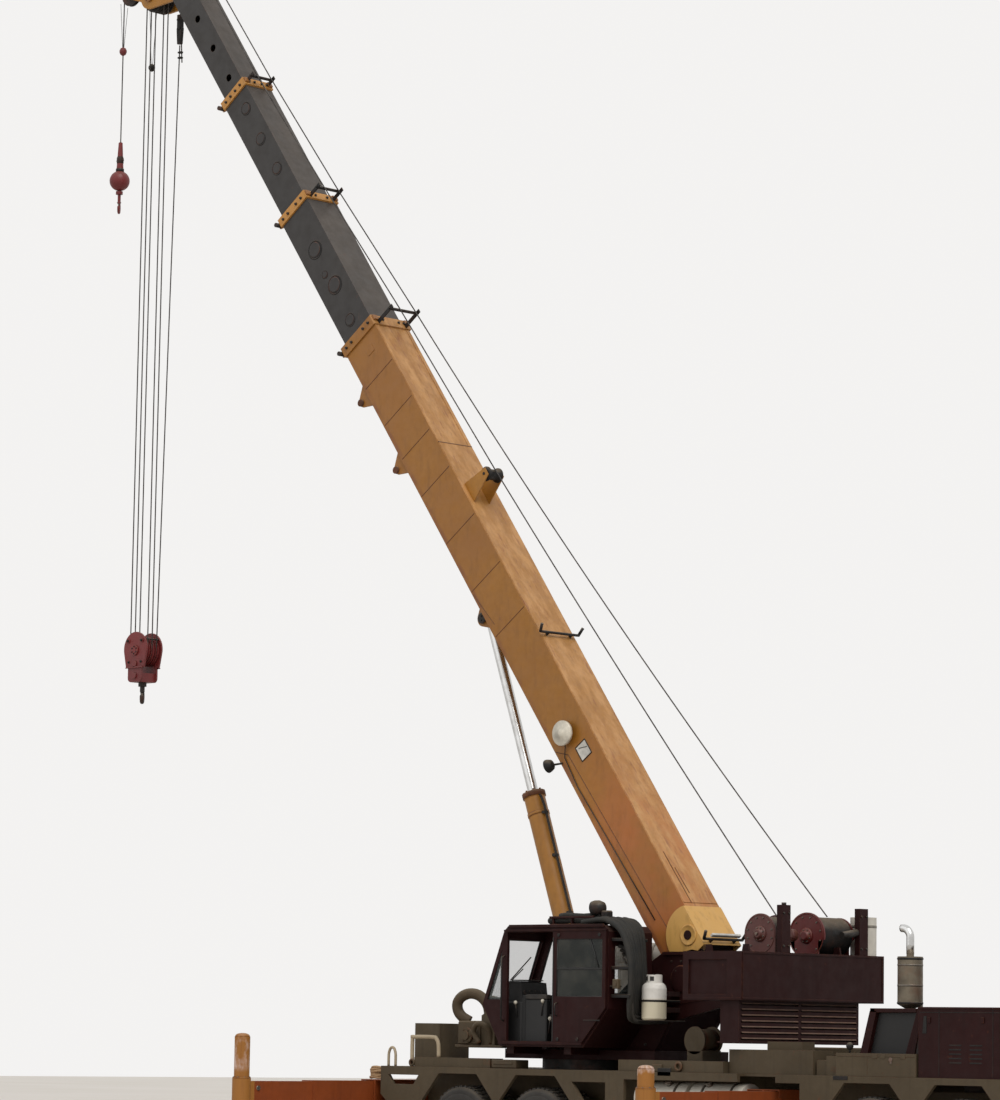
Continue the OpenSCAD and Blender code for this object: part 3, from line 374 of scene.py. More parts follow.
RAM = paint("ram_and_float", rgb(176, 174, 168), rgb(140, 136, 128), rust=0.3, dust=0.2, rough=0.3,
            places=float_places)
RIM = paint("rim_paint", rgb(112, 100, 86), rgb(78, 62, 50), rust=0.8, dust=0.3)
RED = paint("red_paint", rgb(122, 34, 33), rgb(84, 27, 28), rust=0.35, dust=0.15)
WINCH_RED = paint("winch_red", rgb(102, 22, 20), rgb(74, 18, 17), rust=0.3, dust=0.12, places=winch_places)
WHITE = paint("white_paint", rgb(212, 207, 195), rgb(186, 177, 160), rust=0.3, dust=0.25, grime=0.25)
BOTTLE = paint("bottle_white", rgb(224, 220, 212), rgb(206, 199, 186), rust=0.15, dust=0.1, grime=0.15,
               places=bottle_places)
TYRE = paint("tyre_rubber", rgb(44, 42, 40), rgb(60, 56, 51), rust=0.0, dust=0.35, rough=0.78, edge=0.003,
             grime=0.1, chips=0.0)
IRON = iron("dark_iron", rgb(52, 48, 45))
IVORY_PIPE = paint("pale_pipe", rgb(178, 162, 134), rgb(140, 122, 98), rust=0.5, dust=0.4, rough=0.6)
LOUVRE = iron("louvre_iron", rgb(80, 44, 34), rough=0.7, metallic=0.1, dirt=0.8)
STRAP_IRON = iron("strap_iron", rgb(150, 144, 132), rough=0.55, metallic=0.2, dirt=0.5)
DARK = iron("black_iron", rgb(30, 28, 27), dirt=0.25)
BARE = iron("bare_steel", rgb(120, 114, 106), rough=0.45, metallic=0.8, dirt=0.6)
RUSTED = iron("rusted_iron", rgb(106, 66, 42), rough=0.8, metallic=0.1, dirt=0.9)
MUFFLER = iron("muffler_skin", rgb(118, 108, 92), rough=0.5, metallic=0.5, dirt=0.45, scale=5)
CHROME = chrome("bright_rod")
ROPE = rope_steel("wire_rope")
HOSE = rubber("hose_rubber", rgb(26, 24, 23), 0.18)
VINYL = rubber("seat_vinyl", rgb(30, 28, 28), 0.2)
# Near-black sleeve rubber; on the hoses behind the cab it also serves as painted shade
SLEEVE = rubber("hose_sleeve", rgb(20, 21, 19), 0.12)
STRAP = rubber("strap_webbing", rgb(176, 138, 96), 0.4)
GLASS = glass("cab_glass", rgb(19, 24, 20), 0.94, rough=0.22, shine=0.3)
CLEAR = glass("clear_glass", rgb(120, 128, 124), 0.22)
LENS_RED = plain("red_lens", rgb(150, 30, 26), 0.25)
LENS_AMBER = plain("amber_lens", rgb(206, 120, 40), 0.25)
LENS_CLEAR = plain("clear_lens", rgb(210, 210, 204), 0.2)
BLACK = plain("black_plastic", rgb(16, 15, 15), 0.6)
LABEL = plain("blank_plate", rgb(214, 210, 200), 0.5)
IVORY = plain("ivory_disc", rgb(222, 214, 196), 0.45)

# The record's slots, each with its finishes; CAD nodes wear the first, and panes have no slot
SLOTS = {
    "dark_iron": (IRON, DARK, BARE, RUSTED),
    "ochre_paint": (OCHRE, OCHRE_RUSTY, BOOM_PAINT),
    "maroon_paint": (MAROON, LOUVRE),
    "carrier_paint": (TAUPE, IVORY_PIPE, RIM),
    "orange_paint": (ORANGE, LENS_AMBER),
    "red_paint": (RED, WINCH_RED, LENS_RED),
    "white_paint": (WHITE, BOTTLE, LABEL, IVORY, LENS_CLEAR, STRAP_IRON),
    "hose_rubber": (HOSE, SLEEVE, STRAP),
    "charcoal_paint": (CHARCOAL,),
    "bright_rod": (CHROME,),
    "rope_steel": (ROPE,),
    "seat_vinyl": (VINYL,),
    "tyre_rubber": (TYRE,),
}
SLOT_OF = {material.name: slot for slot, group in SLOTS.items() for material in group}
slot_of = {p["node"]: p["material_slot"] for p in frame["record"]["subparts"]}
BY_NODE = {
    "boom_base": BOOM_PAINT, "boom_section_1": SECTION_PAINTS[0], "boom_section_2": SECTION_PAINTS[1],
    "boom_section_3": SECTION_PAINTS[2], "winches": WINCH_RED, "gas_bottle": BOTTLE, "exhaust_stack": MUFFLER,
    "jack_rear_right": RAM, "jack_rear_left": RAM, "jack_front_right": RAM, "jack_front_left": RAM,
    "lift_rod": CHROME,
}
for node, obj in frame["nodes"].items():
    obj.data.materials.clear()
    obj.data.materials.append(BY_NODE.get(node, SLOTS[slot_of[node]][0]))


# Meshes

class Piece:
    """Gathers small solids into one mesh, in slew-axis metres or in the boom's frame."""

    def __init__(self, name, body, material, frame_of=None, slot=None):
        self.name = name
        self.body = body
        self.material = material
        self.slot = slot or SLOT_OF.get(material.name)
        self.bm = bmesh.new()
        self.frame = frame_of or Matrix.Translation((SLEW_X, 0, 0))

    def add(self, verts, faces, smooth=False):
        """Faces over new points; each face names its points by number."""
        vs = [self.bm.verts.new(v) for v in verts]
        for f in faces:
            face = self.bm.faces.new([vs[i] for i in f])
            face.smooth = smooth
        return vs

    def box(self, lo, hi, bevel=0.004, turn=None):
        """A block with small chamfers; turn is a matrix about its centre."""
        lo, hi = Vector(lo), Vector(hi)
        centre, half = (lo + hi) / 2, (hi - lo) / 2
        b = min(bevel, min(half) * 0.45)
        made = bmesh.ops.create_cube(self.bm, size=2)["verts"]
        for v in made:
            v.co = Vector((v.co.x * half.x, v.co.y * half.y, v.co.z * half.z))
        edges = list({e for v in made for e in v.link_edges})
        out = bmesh.ops.bevel(self.bm, geom=edges, offset=b, segments=1, affect="EDGES")
        verts = {v for f in out["faces"] for v in f.verts} | {v for v in made if v.is_valid}
        for v in verts:
            v.co = centre + (turn @ v.co if turn else v.co)
        return self

    def ring(self, centre, x, y, r, n):
        """Points of a circle round a centre, in the plane of x and y."""
        turns = [2 * math.pi * k / n for k in range(n)]
        return [self.bm.verts.new(centre + (x * math.cos(t) + y * math.sin(t)) * r) for t in turns]

    def skin(self, rings, smooth=True, caps=True):
        """Faces from each ring to the next, with a flat cap on both ends."""
        for a, b in zip(rings, rings[1:]):
            n = len(a)
            for k in range(n):
                self.bm.faces.new((a[k], a[(k + 1) % n], b[(k + 1) % n], b[k])).smooth = smooth
        if caps:
            self.bm.faces.new(rings[0][::-1])
            self.bm.faces.new(rings[-1])
        return self

    def rod(self, a, b, r, r2=None, n=16, caps=True):
        """A round bar from a to b, tapered when r2 is given."""
        a, b = Vector(a), Vector(b)
        z = (b - a).normalized()
        x = z.orthogonal().normalized()
        y = z.cross(x)
        ends = self.ring(a, x, y, r, n), self.ring(b, x, y, r if r2 is None else r2, n)
        return self.skin(ends, n > 7, caps)

    def hex(self, p, axis, d, h):
        """A bolt's head or nut with a washer under it."""
        p, axis = Vector(p), Vector(axis).normalized()
        self.rod(p, p + axis * h * 0.25, d * 0.62, n=12)
        self.rod(p + axis * h * 0.25, p + axis * h, d * 0.5, n=6)
        return self

    def sweep(self, points, r, n=10, closed=False):
        """A round bar or hose through the points."""
        pts = [Vector(p) for p in points]
        rings = []
        up = None
        for i, p in enumerate(pts):
            a = pts[i - 1] if i or closed else p
            b = pts[(i + 1) % len(pts)] if i + 1 < len(pts) or closed else p
            z = (b - a).normalized()
            if up is None:
                up = z.orthogonal().normalized()
            up = (up - z * up.dot(z)).normalized()
            rings.append(self.ring(p, up, z.cross(up), r, n))
        return self.skin(rings + rings[:1] if closed else rings, caps=not closed)

    def lathe(self, centre, axis, profile, n=32):
        """A turned piece: its profile lists (radius, distance along the axis); a closed list makes a ring."""
        c, z = Vector(centre), Vector(axis).normalized()
        x = z.orthogonal().normalized()
        y = z.cross(x)
        hollow = profile[0][0] == profile[-1][0] == min(r for r, _ in profile) > 0.024
        closed = profile[0] == profile[-1]
        if closed:
            profile = profile[:-1]
        rings = [self.ring(c + z * h, x, y, r, n) for r, h in profile]
        if hollow or closed:
            self.skin((rings[-1], rings[0]), False, False)
            return self.skin(rings, caps=False)
        return self.skin(rings)

    def plate(self, outline, y0, y1):
        """An outline in X and Z, with a thickness along Y."""
        n = len(outline)
        verts = [(x, y0, z) for x, z in outline] + [(x, y1, z) for x, z in outline]
        faces = [(i, (i + 1) % n, n + (i + 1) % n, n + i) for i in range(n)]
        faces += [tuple(range(n))[::-1], tuple(range(n, 2 * n))]
        self.add(verts, faces)
        return self

    def done(self):
        for v in self.bm.verts:
            v.co = self.frame @ v.co
        bmesh.ops.recalc_face_normals(self.bm, faces=self.bm.faces)
        mesh = bpy.data.meshes.new(self.name)
        self.bm.to_mesh(mesh)
        self.bm.free()
        mesh.materials.append(self.material)
        obj = bpy.data.objects.new(self.name, mesh)
        bpy.context.collection.objects.link(obj)
        if self.body:
            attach(obj, self.body)
        return obj


def arc(centre, r, a0, a1, n, y=0.0):
    """Points of an arc in degrees, in X and Z."""
    turns = [math.radians(a0 + (a1 - a0) * i / n) for i in range(n + 1)]
    return [(centre[0] + r * math.cos(t), y, centre[1] + r * math.sin(t)) for t in turns]


def around(count, r, start=0.0):
    """Places round a circle, as two offsets from its middle; start is in degrees."""
    turns = [math.radians(start + 360 / count * k) for k in range(count)]
    return [(r * math.cos(t), r * math.sin(t)) for t in turns]


# Ropes

ROPE_R = 0.009
MAIN = (-9.08193, 0.0, 16.97075)
NOSE = (-9.73086, 0.0, 17.16719)
BLOCK_Z = 7.25
FALL_Y = (-0.085, 0.0, 0.085)
BALL = (-9.90086, 0.0, 14.33)
PITCH_R = 0.19
DEAD_END = (-8.71, 0.085, 16.22)
WINCH = (3.3, 3.05)


def world_to_boom(p):
    return BOOM.inverted() @ at(*p)


def replace_falls():
    """The six falls between the head's sheaves and the block's."""
    piece = Piece("main_falls_rope", None, ROPE)
    for side in (-1, 1):
        for y in FALL_Y:
            x = MAIN[0] + side * PITCH_R
            top = DEAD_END if (side, y) == (1, FALL_Y[-1]) else (x, y, MAIN[2])
            piece.rod(top, (x, y, BLOCK_Z), ROPE_R, n=8, caps=False)
    obj = piece.done()
    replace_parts(obj, "main_falls")
    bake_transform(obj)
    line = Piece("ball_fall_rope", None, ROPE)
    line.rod((BALL[0], 0, NOSE[2]), (BALL[0], 0, BALL[2] + 0.58), ROPE_R, n=8, caps=False)
    obj = line.done()
    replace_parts(obj, "ball_rope")
    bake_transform(obj)


replace_falls()

# Dead end of the falls: a wedge socket hung from the boom's end, with the rope's clamped tail
socket = Piece("dead_end_socket", "fall_line", DARK)
sx, sy, sz = DEAD_END
socket.plate([(sx - 0.035, sz + 0.02), (sx + 0.035, sz + 0.02), (sx + 0.055, sz + 0.26),
              (sx - 0.055, sz + 0.26)], sy - 0.025, sy + 0.025)
socket.plate([(sx - 0.03, sz + 0.24), (sx + 0.03, sz + 0.24), (sx + 0.03, sz + 0.46), (sx - 0.03, sz + 0.46)],
             sy - 0.04, sy + 0.04)
socket.rod((sx, sy - 0.06, sz + 0.38), (sx, sy + 0.06, sz + 0.38), 0.018)
socket.rod((sx + 0.02, sy + 0.015, sz + 0.02), (sx + 0.035, sy + 0.02, sz - 0.26), 0.009, n=8)
for z in (-0.20, -0.12):
    socket.box((sx - 0.02, sy - 0.025, sz + z), (sx + 0.05, sy + 0.03, sz + z + 0.025))
socket.done()

# Weights of the hoist limit switches, on their own thin lines from the head
for name, body, x, y, z, top, r, paint_of in (
    ("limit_weight_ball", "ball_line", NOSE[0] - 0.17, 0.0, 16.30, 17.0, 0.055, RED),
    ("limit_weight_main", "fall_line", MAIN[0] - 0.25, 0.085, 15.98, 16.85, 0.05, DARK),
):
    weight = Piece(name, body, paint_of)
    weight.lathe((x, y, z), (0, 0, 1), [(0.012, -r * 1.15), (r * 0.75, -r * 0.8), (r, -r * 0.2), (r, r * 0.3),
                                         (r * 0.7, r * 0.9), (0.012, r * 1.15)], n=24)
    weight.done()
    line = Piece(name + "_line", body, DARK)
    line.rod((x - 0.02, y + 0.03, z + r), (x - 0.05, y + 0.11, top), 0.0035, n=6)
    line.rod((x + 0.02, y - 0.03, z + r), (x + 0.05, y - 0.11, top), 0.0035, n=6)
    line.done()


def hoist_rope(name, points, bodies, sag):
    """A hoist rope over its guides: one run from each body to the next, the first with a sag."""
    for i, (a, b) in enumerate(zip(points, points[1:])):
        first, second = bodies[i], bodies[i + 1]
        run = Piece("%s_run_%d" % (name, i), first if first == second else None, ROPE, BOOM)
        n, crowd = (34, 1.8) if i == 0 else (8, 1)
        drop = sag if i == 0 else 0.0
        pa, pb = Vector(a), Vector(b)
        steps = [(k / n) ** crowd for k in range(n + 1)]
        run.sweep([pa.lerp(pb, t) - Vector((0, 0, 4 * drop * t * (1 - t))) for t in steps], ROPE_R, n=8)
        obj = run.done()
        if first != second:
            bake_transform(obj)


# Guides on the boom's back: place along the boom, height of the rope over the foot pin's line, body
ROLLER = (7.25, 0.60, "boom")
GUIDES = [(10.33, 0.475, "boom"), (12.80, 0.335, "section_1"), (15.14, 0.225, "section_2"),
          (17.28, 0.20, "section_3")]
COLLAR_BACKS = (0.167, 0.127, 0.087, 0.025)
drum_far = world_to_boom((WINCH[0] + 0.05, 0.66, WINCH[1] + 0.245))
drum_near = world_to_boom((WINCH[0] + 0.05, -0.30, WINCH[1] + 0.22))
# Each rope: start on its drum, places across the boom at the guides, end at its sheave, sag
for name, start, across, end, lead, sag in (
    ("rope_a", drum_far, (-0.20, -0.15, -0.15, -0.12), (17.92, -0.085, -0.685), [], 0.12),
    ("rope_b", drum_near, (0.10, 0.12, 0.12, 0.09), (18.42, 0.0, -1.06), [ROLLER], 0.03),
):
    stops = [(s, 0.10, n, body) for s, n, body in lead]
    stops += [(s, y, n, body) for (s, n, body), y in zip(GUIDES, across)]
    points = [tuple(start)] + [(s, y, n) for s, y, n, _ in stops] + [end]
    hoist_rope(name, points, ["superstructure"] + [body for *_, body in stops] + ["section_3"], sag)

for i, ((s, n, body), low) in enumerate(zip(GUIDES[:3], COLLAR_BACKS)):
    guide = Piece("rope_guide_%d" % i, body, DARK, BOOM)
    half = (0.26, 0.22, 0.20)[i]
    guide.rod((s, -half, n - 0.034), (s, half, n - 0.034), 0.022, n=14)
    for y in (-half, half):
        guide.box((s - 0.03, y - 0.008, low - 0.002), (s + 0.03, y + 0.008, n + 0.03))
        guide.hex((s, y + math.copysign(0.008, y), n - 0.034), (0, y, 0), 0.03, 0.02)
    guide.done()
roller = Piece("rope_roller", "boom", DARK, BOOM)
roller.lathe((ROLLER[0], -0.02, ROLLER[1] - 0.085), (0, 1, 0),
             [(0.02, 0), (0.10, 0.004), (0.10, 0.02), (0.074, 0.03), (0.074, 0.21), (0.10, 0.22),
              (0.10, 0.236), (0.02, 0.24)], n=32)
roller.rod((ROLLER[0], -0.06, ROLLER[1] - 0.085), (ROLLER[0], 0.26, ROLLER[1] - 0.085), 0.02)
roller.done()
stand = Piece("rope_roller_stand", "boom", OCHRE, BOOM)
for y in (-0.045, 0.245):
    stand.plate([(ROLLER[0] - 0.19, 0.15), (ROLLER[0] + 0.13, 0.15), (ROLLER[0] + 0.06, ROLLER[1] - 0.03),
                 (ROLLER[0] - 0.06, ROLLER[1] - 0.03)], y - 0.007, y + 0.007)
stand.done()

# Rope in the grooves of the head's and the block's sheaves
groove = Piece("rope_on_head", "section_3", ROPE)
for y in FALL_Y:
    groove.sweep(arc((MAIN[0], MAIN[2]), PITCH_R - 0.003, 0, 352.5, 47, y=y), 0.008, n=6, closed=True)
groove.sweep(arc((NOSE[0], NOSE[2]), 0.167, 0, 352.5, 47), 0.008, n=6, closed=True)
groove.done()
groove = Piece("rope_in_block", "hook_block", ROPE)
for y in FALL_Y:
    groove.sweep(arc((MAIN[0], BLOCK_Z), PITCH_R - 0.003, 0, 352.5, 47, y=y), 0.008, n=6, closed=True)
groove.done()


def wound(name, y0, y1, r, turn):
    """Rope wound on a drum: one ridge for each turn."""
    piece = Piece(name, "superstructure", DARK)
    count = int((y1 - y0) / turn)
    profile = [(r - 0.02, 0)]
    for i in range(count):
        for k, (dr, dh) in enumerate(((0.0, 0.02), (0.75, 0.25), (1.0, 0.5), (0.75, 0.75))):
            profile.append((r + dr * turn * 0.45, (i + dh) * (y1 - y0) / count))
    profile.append((r - 0.02, y1 - y0))
    piece.lathe((WINCH[0], y0, WINCH[1]), (0, 1, 0), profile, n=40)
    return piece.done()


# Winches: end plates cut flat on the counterweight, drums, hubs, bolt rings and a motor
WINCH_SEAT = 2.8203
drums = Piece("winch_drums", "superstructure", WINCH_RED)
hubs = Piece("winch_hubs", "superstructure", WINCH_RED)
nuts = Piece("winch_nuts", "superstructure", BARE)
for near, far, r, far_r, drum_r, foot in ((-0.56, -0.24, 0.25, 0.24, 0.20, 0.245),
                                          (0.32, 0.96, 0.29, 0.24, 0.225, 0.19)):
    for y, radius, half in ((near, r, foot), (far - 0.024, far_r, foot - 0.03)):
        low = math.asin((WINCH_SEAT - WINCH[1]) / radius)
        rim = [(WINCH[0] + radius * math.cos(low + (math.pi - 2 * low) * k / 40),
                WINCH[1] + radius * math.sin(low + (math.pi - 2 * low) * k / 40)) for k in range(41)]
        if half > radius * math.cos(low):
            rim = [p for p in rim if p[1] > WINCH[1] - 0.06]
            rim += [(WINCH[0] - half, WINCH[1] - 0.06), (WINCH[0] - half, WINCH_SEAT)]
            rim = [(WINCH[0] + half, WINCH_SEAT), (WINCH[0] + half, WINCH[1] - 0.06)] + rim
        drums.plate(rim, y, y + 0.024)
    drums.rod((WINCH[0], near + 0.02, WINCH[1]), (WINCH[0], far - 0.02, WINCH[1]), drum_r - 0.01, n=40)
    hubs.lathe((WINCH[0], near + 0.001, WINCH[1]), (0, -1, 0),
               [(0.10, 0), (0.10, 0.012), (0.085, 0.02), (0.06, 0.022), (0.06, 0.05), (0.045, 0.062)], n=32)
    hubs.lathe((WINCH[0], near + 0.001, WINCH[1]), (0, -1, 0),
               [(r * 0.96, 0), (r * 0.96, 0.006), (r * 0.92, 0.006), (r * 0.92, 0)], n=48)
    for dx, dz in around(8, 0.075, 22.5):
        nuts.hex((WINCH[0] + dx, near - 0.02, WINCH[1] + dz), (0, -1, 0), 0.016, 0.012)
    for dx, dz in around(12, r * 0.8, 15):
        if WINCH[1] + dz > 2.86:
            nuts.hex((WINCH[0] + dx, near, WINCH[1] + dz), (0, -1, 0), 0.02, 0.014)
nuts.rod((WINCH[0], -0.62, WINCH[1]), (WINCH[0], -0.64, WINCH[1]), 0.018, n=12)
hubs.rod((WINCH[0], -0.24, WINCH[1]), (WINCH[0], -0.08, WINCH[1]), 0.12, n=32)
hubs.rod((WINCH[0], -0.08, WINCH[1]), (WINCH[0], 0.08, WINCH[1]), 0.075, n=28)
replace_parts(drums.done(), "winches")
wound("wound_rope_near", -0.53, -0.27, 0.202, 0.022)
wound("wound_rope_far", 0.35, 0.93, 0.227, 0.022)
hubs.done()
nuts.done()
band = Piece("drum_band", "superstructure", BARE)
band.lathe((WINCH[0], 0.955, WINCH[1]), (0, 1, 0),
           [(0.14, 0), (0.14, 0.09), (0.12, 0.10), (0.07, 0.11), (0.07, 0.14)], n=32)
for dx, dz in around(6, 0.1):
    band.hex((WINCH[0] + dx, 1.065, WINCH[1] + dz), (0, 1, 0), 0.018, 0.012)
band.done()

# Head: side stiffeners, axle keepers, guard bars over the sheaves, rollers for the two ropes
head = Piece("head_plates", "section_3", OCHRE_RUSTY, BOOM)
bolts = Piece("head_bolts", "section_3", IRON, BOOM)
rollers = Piece("head_rollers", "section_3", DARK, BOOM)
for side in (-1, 1):
    y = side * 0.212
    head.rod((17.74, y, -0.75), (17.74, y + side * 0.03, -0.75), 0.085, n=24)
    head.box((17.70, min(y, y + side * 0.016), -0.63), (17.78, max(y, y + side * 0.016), -0.45))
    head.box((17.31, min(y, y + side * 0.014), -0.40), (17.37, max(y, y + side * 0.014), 0.02))
    for ds, dn in around(6, 0.062):
        bolts.hex((17.74 + ds, y + side * 0.03, -0.75 + dn), (0, side, 0), 0.02, 0.014)
    for n in (-0.34, -0.25, -0.16, -0.07):
        bolts.hex((17.34, y + side * 0.014, n), (0, side, 0), 0.024, 0.014)
    head.plate([(17.16, 0.02), (17.40, 0.02), (17.33, 0.24), (17.23, 0.24)], side * 0.15 - 0.008,
               side * 0.15 + 0.008)
    yy = side * 0.1465
    head.rod((18.28, yy, -1.16), (18.28, yy + side * 0.022, -1.16), 0.06, n=20)
rollers.rod((17.28, -0.17, 0.165), (17.28, 0.17, 0.165), 0.036, n=20)
for turns, centre, reach, half, r in (((20, 75), (17.74, -0.75), 0.235, 0.17, 0.012),
                                      ((-60, 20, 80), (18.28, -1.16), 0.215, 0.118, 0.01)):
    for turn in turns:
        s, _, n = arc(centre, reach, turn, turn, 1)[0]
        rollers.rod((s, -half, n), (s, half, n), r, n=10)
head.done()
bolts.done()
rollers.done()

# Hook block: bolt bosses, keeper plates, side ribs; the hook's nut and latch
cheek = Piece("block_bosses", "hook_block", RED)
pins = Piece("block_pins", "hook_block", DARK)
for side in (-1, 1):
    y = side * 0.156
    cheek.rod((MAIN[0], y, BLOCK_Z), (MAIN[0], y + side * 0.022, BLOCK_Z), 0.075, n=28)
    cheek.plate([(MAIN[0] - 0.19, BLOCK_Z - 0.26), (MAIN[0] + 0.19, BLOCK_Z - 0.26),
                 (MAIN[0] + 0.17, BLOCK_Z - 0.235), (MAIN[0] - 0.17, BLOCK_Z - 0.235)],
                min(y, y + side * 0.02), max(y, y + side * 0.02))
    for z in (-0.20, -0.37):
        cheek.rod((MAIN[0], y, BLOCK_Z + z), (MAIN[0], y + side * 0.02, BLOCK_Z + z), 0.045, n=24)
    for dx in (-0.15, 0.15):
        cheek.rod((MAIN[0] + dx, y, BLOCK_Z + 0.14), (MAIN[0] + dx, y + side * 0.012, BLOCK_Z + 0.14),
                  0.034, n=20)
        pins.hex((MAIN[0] + dx, y + side * 0.012, BLOCK_Z + 0.14), (0, side, 0), 0.034, 0.02)
        pins.hex((MAIN[0] + dx * 0.9, y, BLOCK_Z - 0.17), (0, side, 0), 0.03, 0.018)
    for dx, dz in around(6, 0.052, 30):
        pins.hex((MAIN[0] + dx, y + side * 0.022, BLOCK_Z + dz), (0, side, 0), 0.018, 0.012)
for x, _, z in arc((MAIN[0], BLOCK_Z + 0.02), 0.232, 38, 142, 1):
    pins.rod((x, -0.128, z), (x, 0.128, z), 0.012, n=10)
cheek.done()
pins.done()


def hook_latch(name, body, x, z, size):
    """A sprung latch across a hook's mouth, in the plane that the hook lies in."""
    turn = Matrix.Translation((x, 0, z)) @ Matrix.Rotation(math.radians(135), 4, "Z")
    latch = Piece(name, body, BARE, Matrix.Translation((SLEW_X, 0, 0)) @ turn)
    latch.rod((0.0, 0, size * 1.15), (-size * 0.92, 0, size * 0.12), size * 0.1, n=8)
    latch.rod((0, -size * 0.45, size * 1.15), (0, size * 0.45, size * 1.15), size * 0.12, n=10)
    latch.done()


hook_latch("main_hook_latch", "main_hook", MAIN[0], BLOCK_Z - 0.4603 - 0.21, 0.075)
hook_latch("ball_hook_latch", "ball", BALL[0], BALL[2] - 0.41, 0.07)

ball = Piece("ball_socket", "ball", DARK)
ball.lathe((BALL[0], 0, BALL[2] + 0.13), (0, 0, 1),
           [(0.062, 0), (0.062, 0.05), (0.05, 0.06), (0.04, 0.12), (0.052, 0.14), (0.052, 0.22),
            (0.036, 0.25), (0.03, 0.44), (0.012, 0.46)], n=24)
ball.rod((BALL[0] - 0.07, 0, BALL[2] + 0.31), (BALL[0] + 0.07, 0, BALL[2] + 0.31), 0.016, n=12)
ball.done()

# Boom: welds, doublers, bars, disc, plate, lamp and brackets. Y+ is the camera's side here.

SIDE = 0.33
LOW, BACK = -0.53, 0.145
# Weld seams in rusty brown iron: rust on the welds, and also a dark line of painted shade along each raised
# seam
welds = Piece("boom_welds", "boom", RUSTED, BOOM, slot="ochre_paint")
for side in (-1, 1):
    for s in (9.66, 8.99, 8.38, 7.71, 6.87, 6.03, 5.25):
        welds.box((s - 0.005, side * SIDE - 0.003, LOW + 0.02),
                  (s + 0.005, side * SIDE + 0.003, BACK - 0.02), 0.001)
    # Edge of the lower doubler, which runs out at the foot, drawn as a dark line that is partly painted shade
    # along its step
    welds.rod((3.15, side * SIDE, -0.36), (0.22, side * SIDE, -0.25), 0.005, n=6)
    welds.rod((3.15, side * SIDE, -0.36), (3.32, side * SIDE, LOW + 0.01), 0.005, n=6)
    welds.rod((5.98, side * SIDE, LOW + 0.02), (5.40, side * SIDE, LOW + 0.10), 0.004, n=6)
welds.done()

doublers = Piece("boom_doublers", "boom", BOOM_PAINT, BOOM)
doublers.box((0.40, -0.318, BACK - 0.002), (8.13, 0.318, BACK + 0.008), 0.003)
for side in (-1, 1):
    y = side * 0.29
    doublers.box((8.131, y - 0.03, BACK - 0.002), (10.285, y + 0.03, BACK + 0.008), 0.003)
doublers.box((10.0, SIDE - 0.002, -0.20), (10.12, SIDE + 0.006, -0.06), 0.002)
for s in (9.59, 8.36):
    doublers.plate([(s - 0.20, LOW + 0.01), (s + 0.20, LOW + 0.01), (s + 0.05, LOW - 0.19),
                    (s - 0.07, LOW - 0.19)], 0.27, 0.30)
doublers.done()

marks = Piece("boom_marks", "boom", RUSTED, BOOM)
marks.box((8.118, -0.32, BACK), (8.134, 0.32, BACK + 0.011), 0.001)
for y, a, b in ((0.12, 0.55, 0.95), (0.18, 0.40, 1.20)):
    marks.rod((a, y, BACK + 0.009), (b, y + 0.02, BACK + 0.009), 0.006, n=6)
for s in (9.59, 8.36):
    marks.rod((s - 0.01, 0.25, LOW - 0.17), (s - 0.01, 0.33, LOW - 0.17), 0.05, n=18)
marks.done()

# Bars with turned-up ends across the boom's back
for i, (s, n) in enumerate(((4.76, BACK + 0.06), (-0.205, BACK + 0.055))):
    bar = Piece("back_bar_%d" % i, "boom", DARK, BOOM)
    bar.rod((s, -0.35, n), (s, 0.37, n), 0.018, n=12)
    for y, lean in ((-0.35, -0.03), (0.37, 0.03)):
        bar.rod((s, y, n - 0.01), (s + 0.05, y + lean, n + 0.10), 0.02, n=12)
    for y in (-0.22, 0.22):
        bar.box((s - 0.02, y - 0.01, BACK - 0.002), (s + 0.02, y + 0.01, n))
    bar.done()
pad = Piece("back_bar_pad", "boom", LABEL, BOOM)
pad.box((-0.195, -0.28, BACK + 0.075), (-0.16, 0.26, BACK + 0.125), 0.006)
pad.done()

# Ivory disc of the length gauge, on a bracket, and the angle plate below it
disc = Piece("gauge_disc", "boom", IVORY, BOOM)
disc.lathe((3.39, 0.40, -0.22), (0, 1, 0), [(0.165, 0), (0.165, 0.035), (0.155, 0.045), (0.06, 0.05),
                                            (0.055, 0.062), (0.012, 0.064)], n=48)
disc.done()
arm = Piece("gauge_arm", "boom", DARK, BOOM)
arm.rod((3.39, SIDE - 0.002, -0.22), (3.39, 0.41, -0.22), 0.035, n=20)
arm.box((3.33, SIDE - 0.002, -0.30), (3.45, SIDE + 0.012, -0.14))
for ds, dn in ((-0.04, -0.06), (0.04, -0.06), (-0.04, 0.06), (0.04, 0.06)):
    arm.hex((3.39 + ds, SIDE + 0.012, -0.22 + dn), (0, 1, 0), 0.022, 0.012)
arm.sweep([(3.39, 0.37, -0.22), (3.28, 0.36, -0.30), (3.15, 0.345, -0.42), (2.7, 0.338, -0.46),
           (1.4, 0.338, -0.40), (0.5, 0.338, -0.36)], 0.007, n=6)
arm.done()
plate = Piece("angle_plate", "boom", LABEL, BOOM)
plate.box((2.93, SIDE, -0.20), (3.13, SIDE + 0.006, -0.02), 0.002)
plate.done()
rim = Piece("angle_plate_rim", "boom", DARK, BOOM)
for a, b in (((2.92, -0.21), (3.14, -0.21)), ((3.14, -0.21), (3.14, -0.01)), ((3.14, -0.01), (2.92, -0.01)),
             ((2.92, -0.01), (2.92, -0.21))):
    rim.rod((a[0], SIDE + 0.003, a[1]), (b[0], SIDE + 0.003, b[1]), 0.006, n=6)
rim.rod((3.03, SIDE + 0.008, -0.03), (3.10, SIDE + 0.010, -0.16), 0.004, n=6)
rim.done()

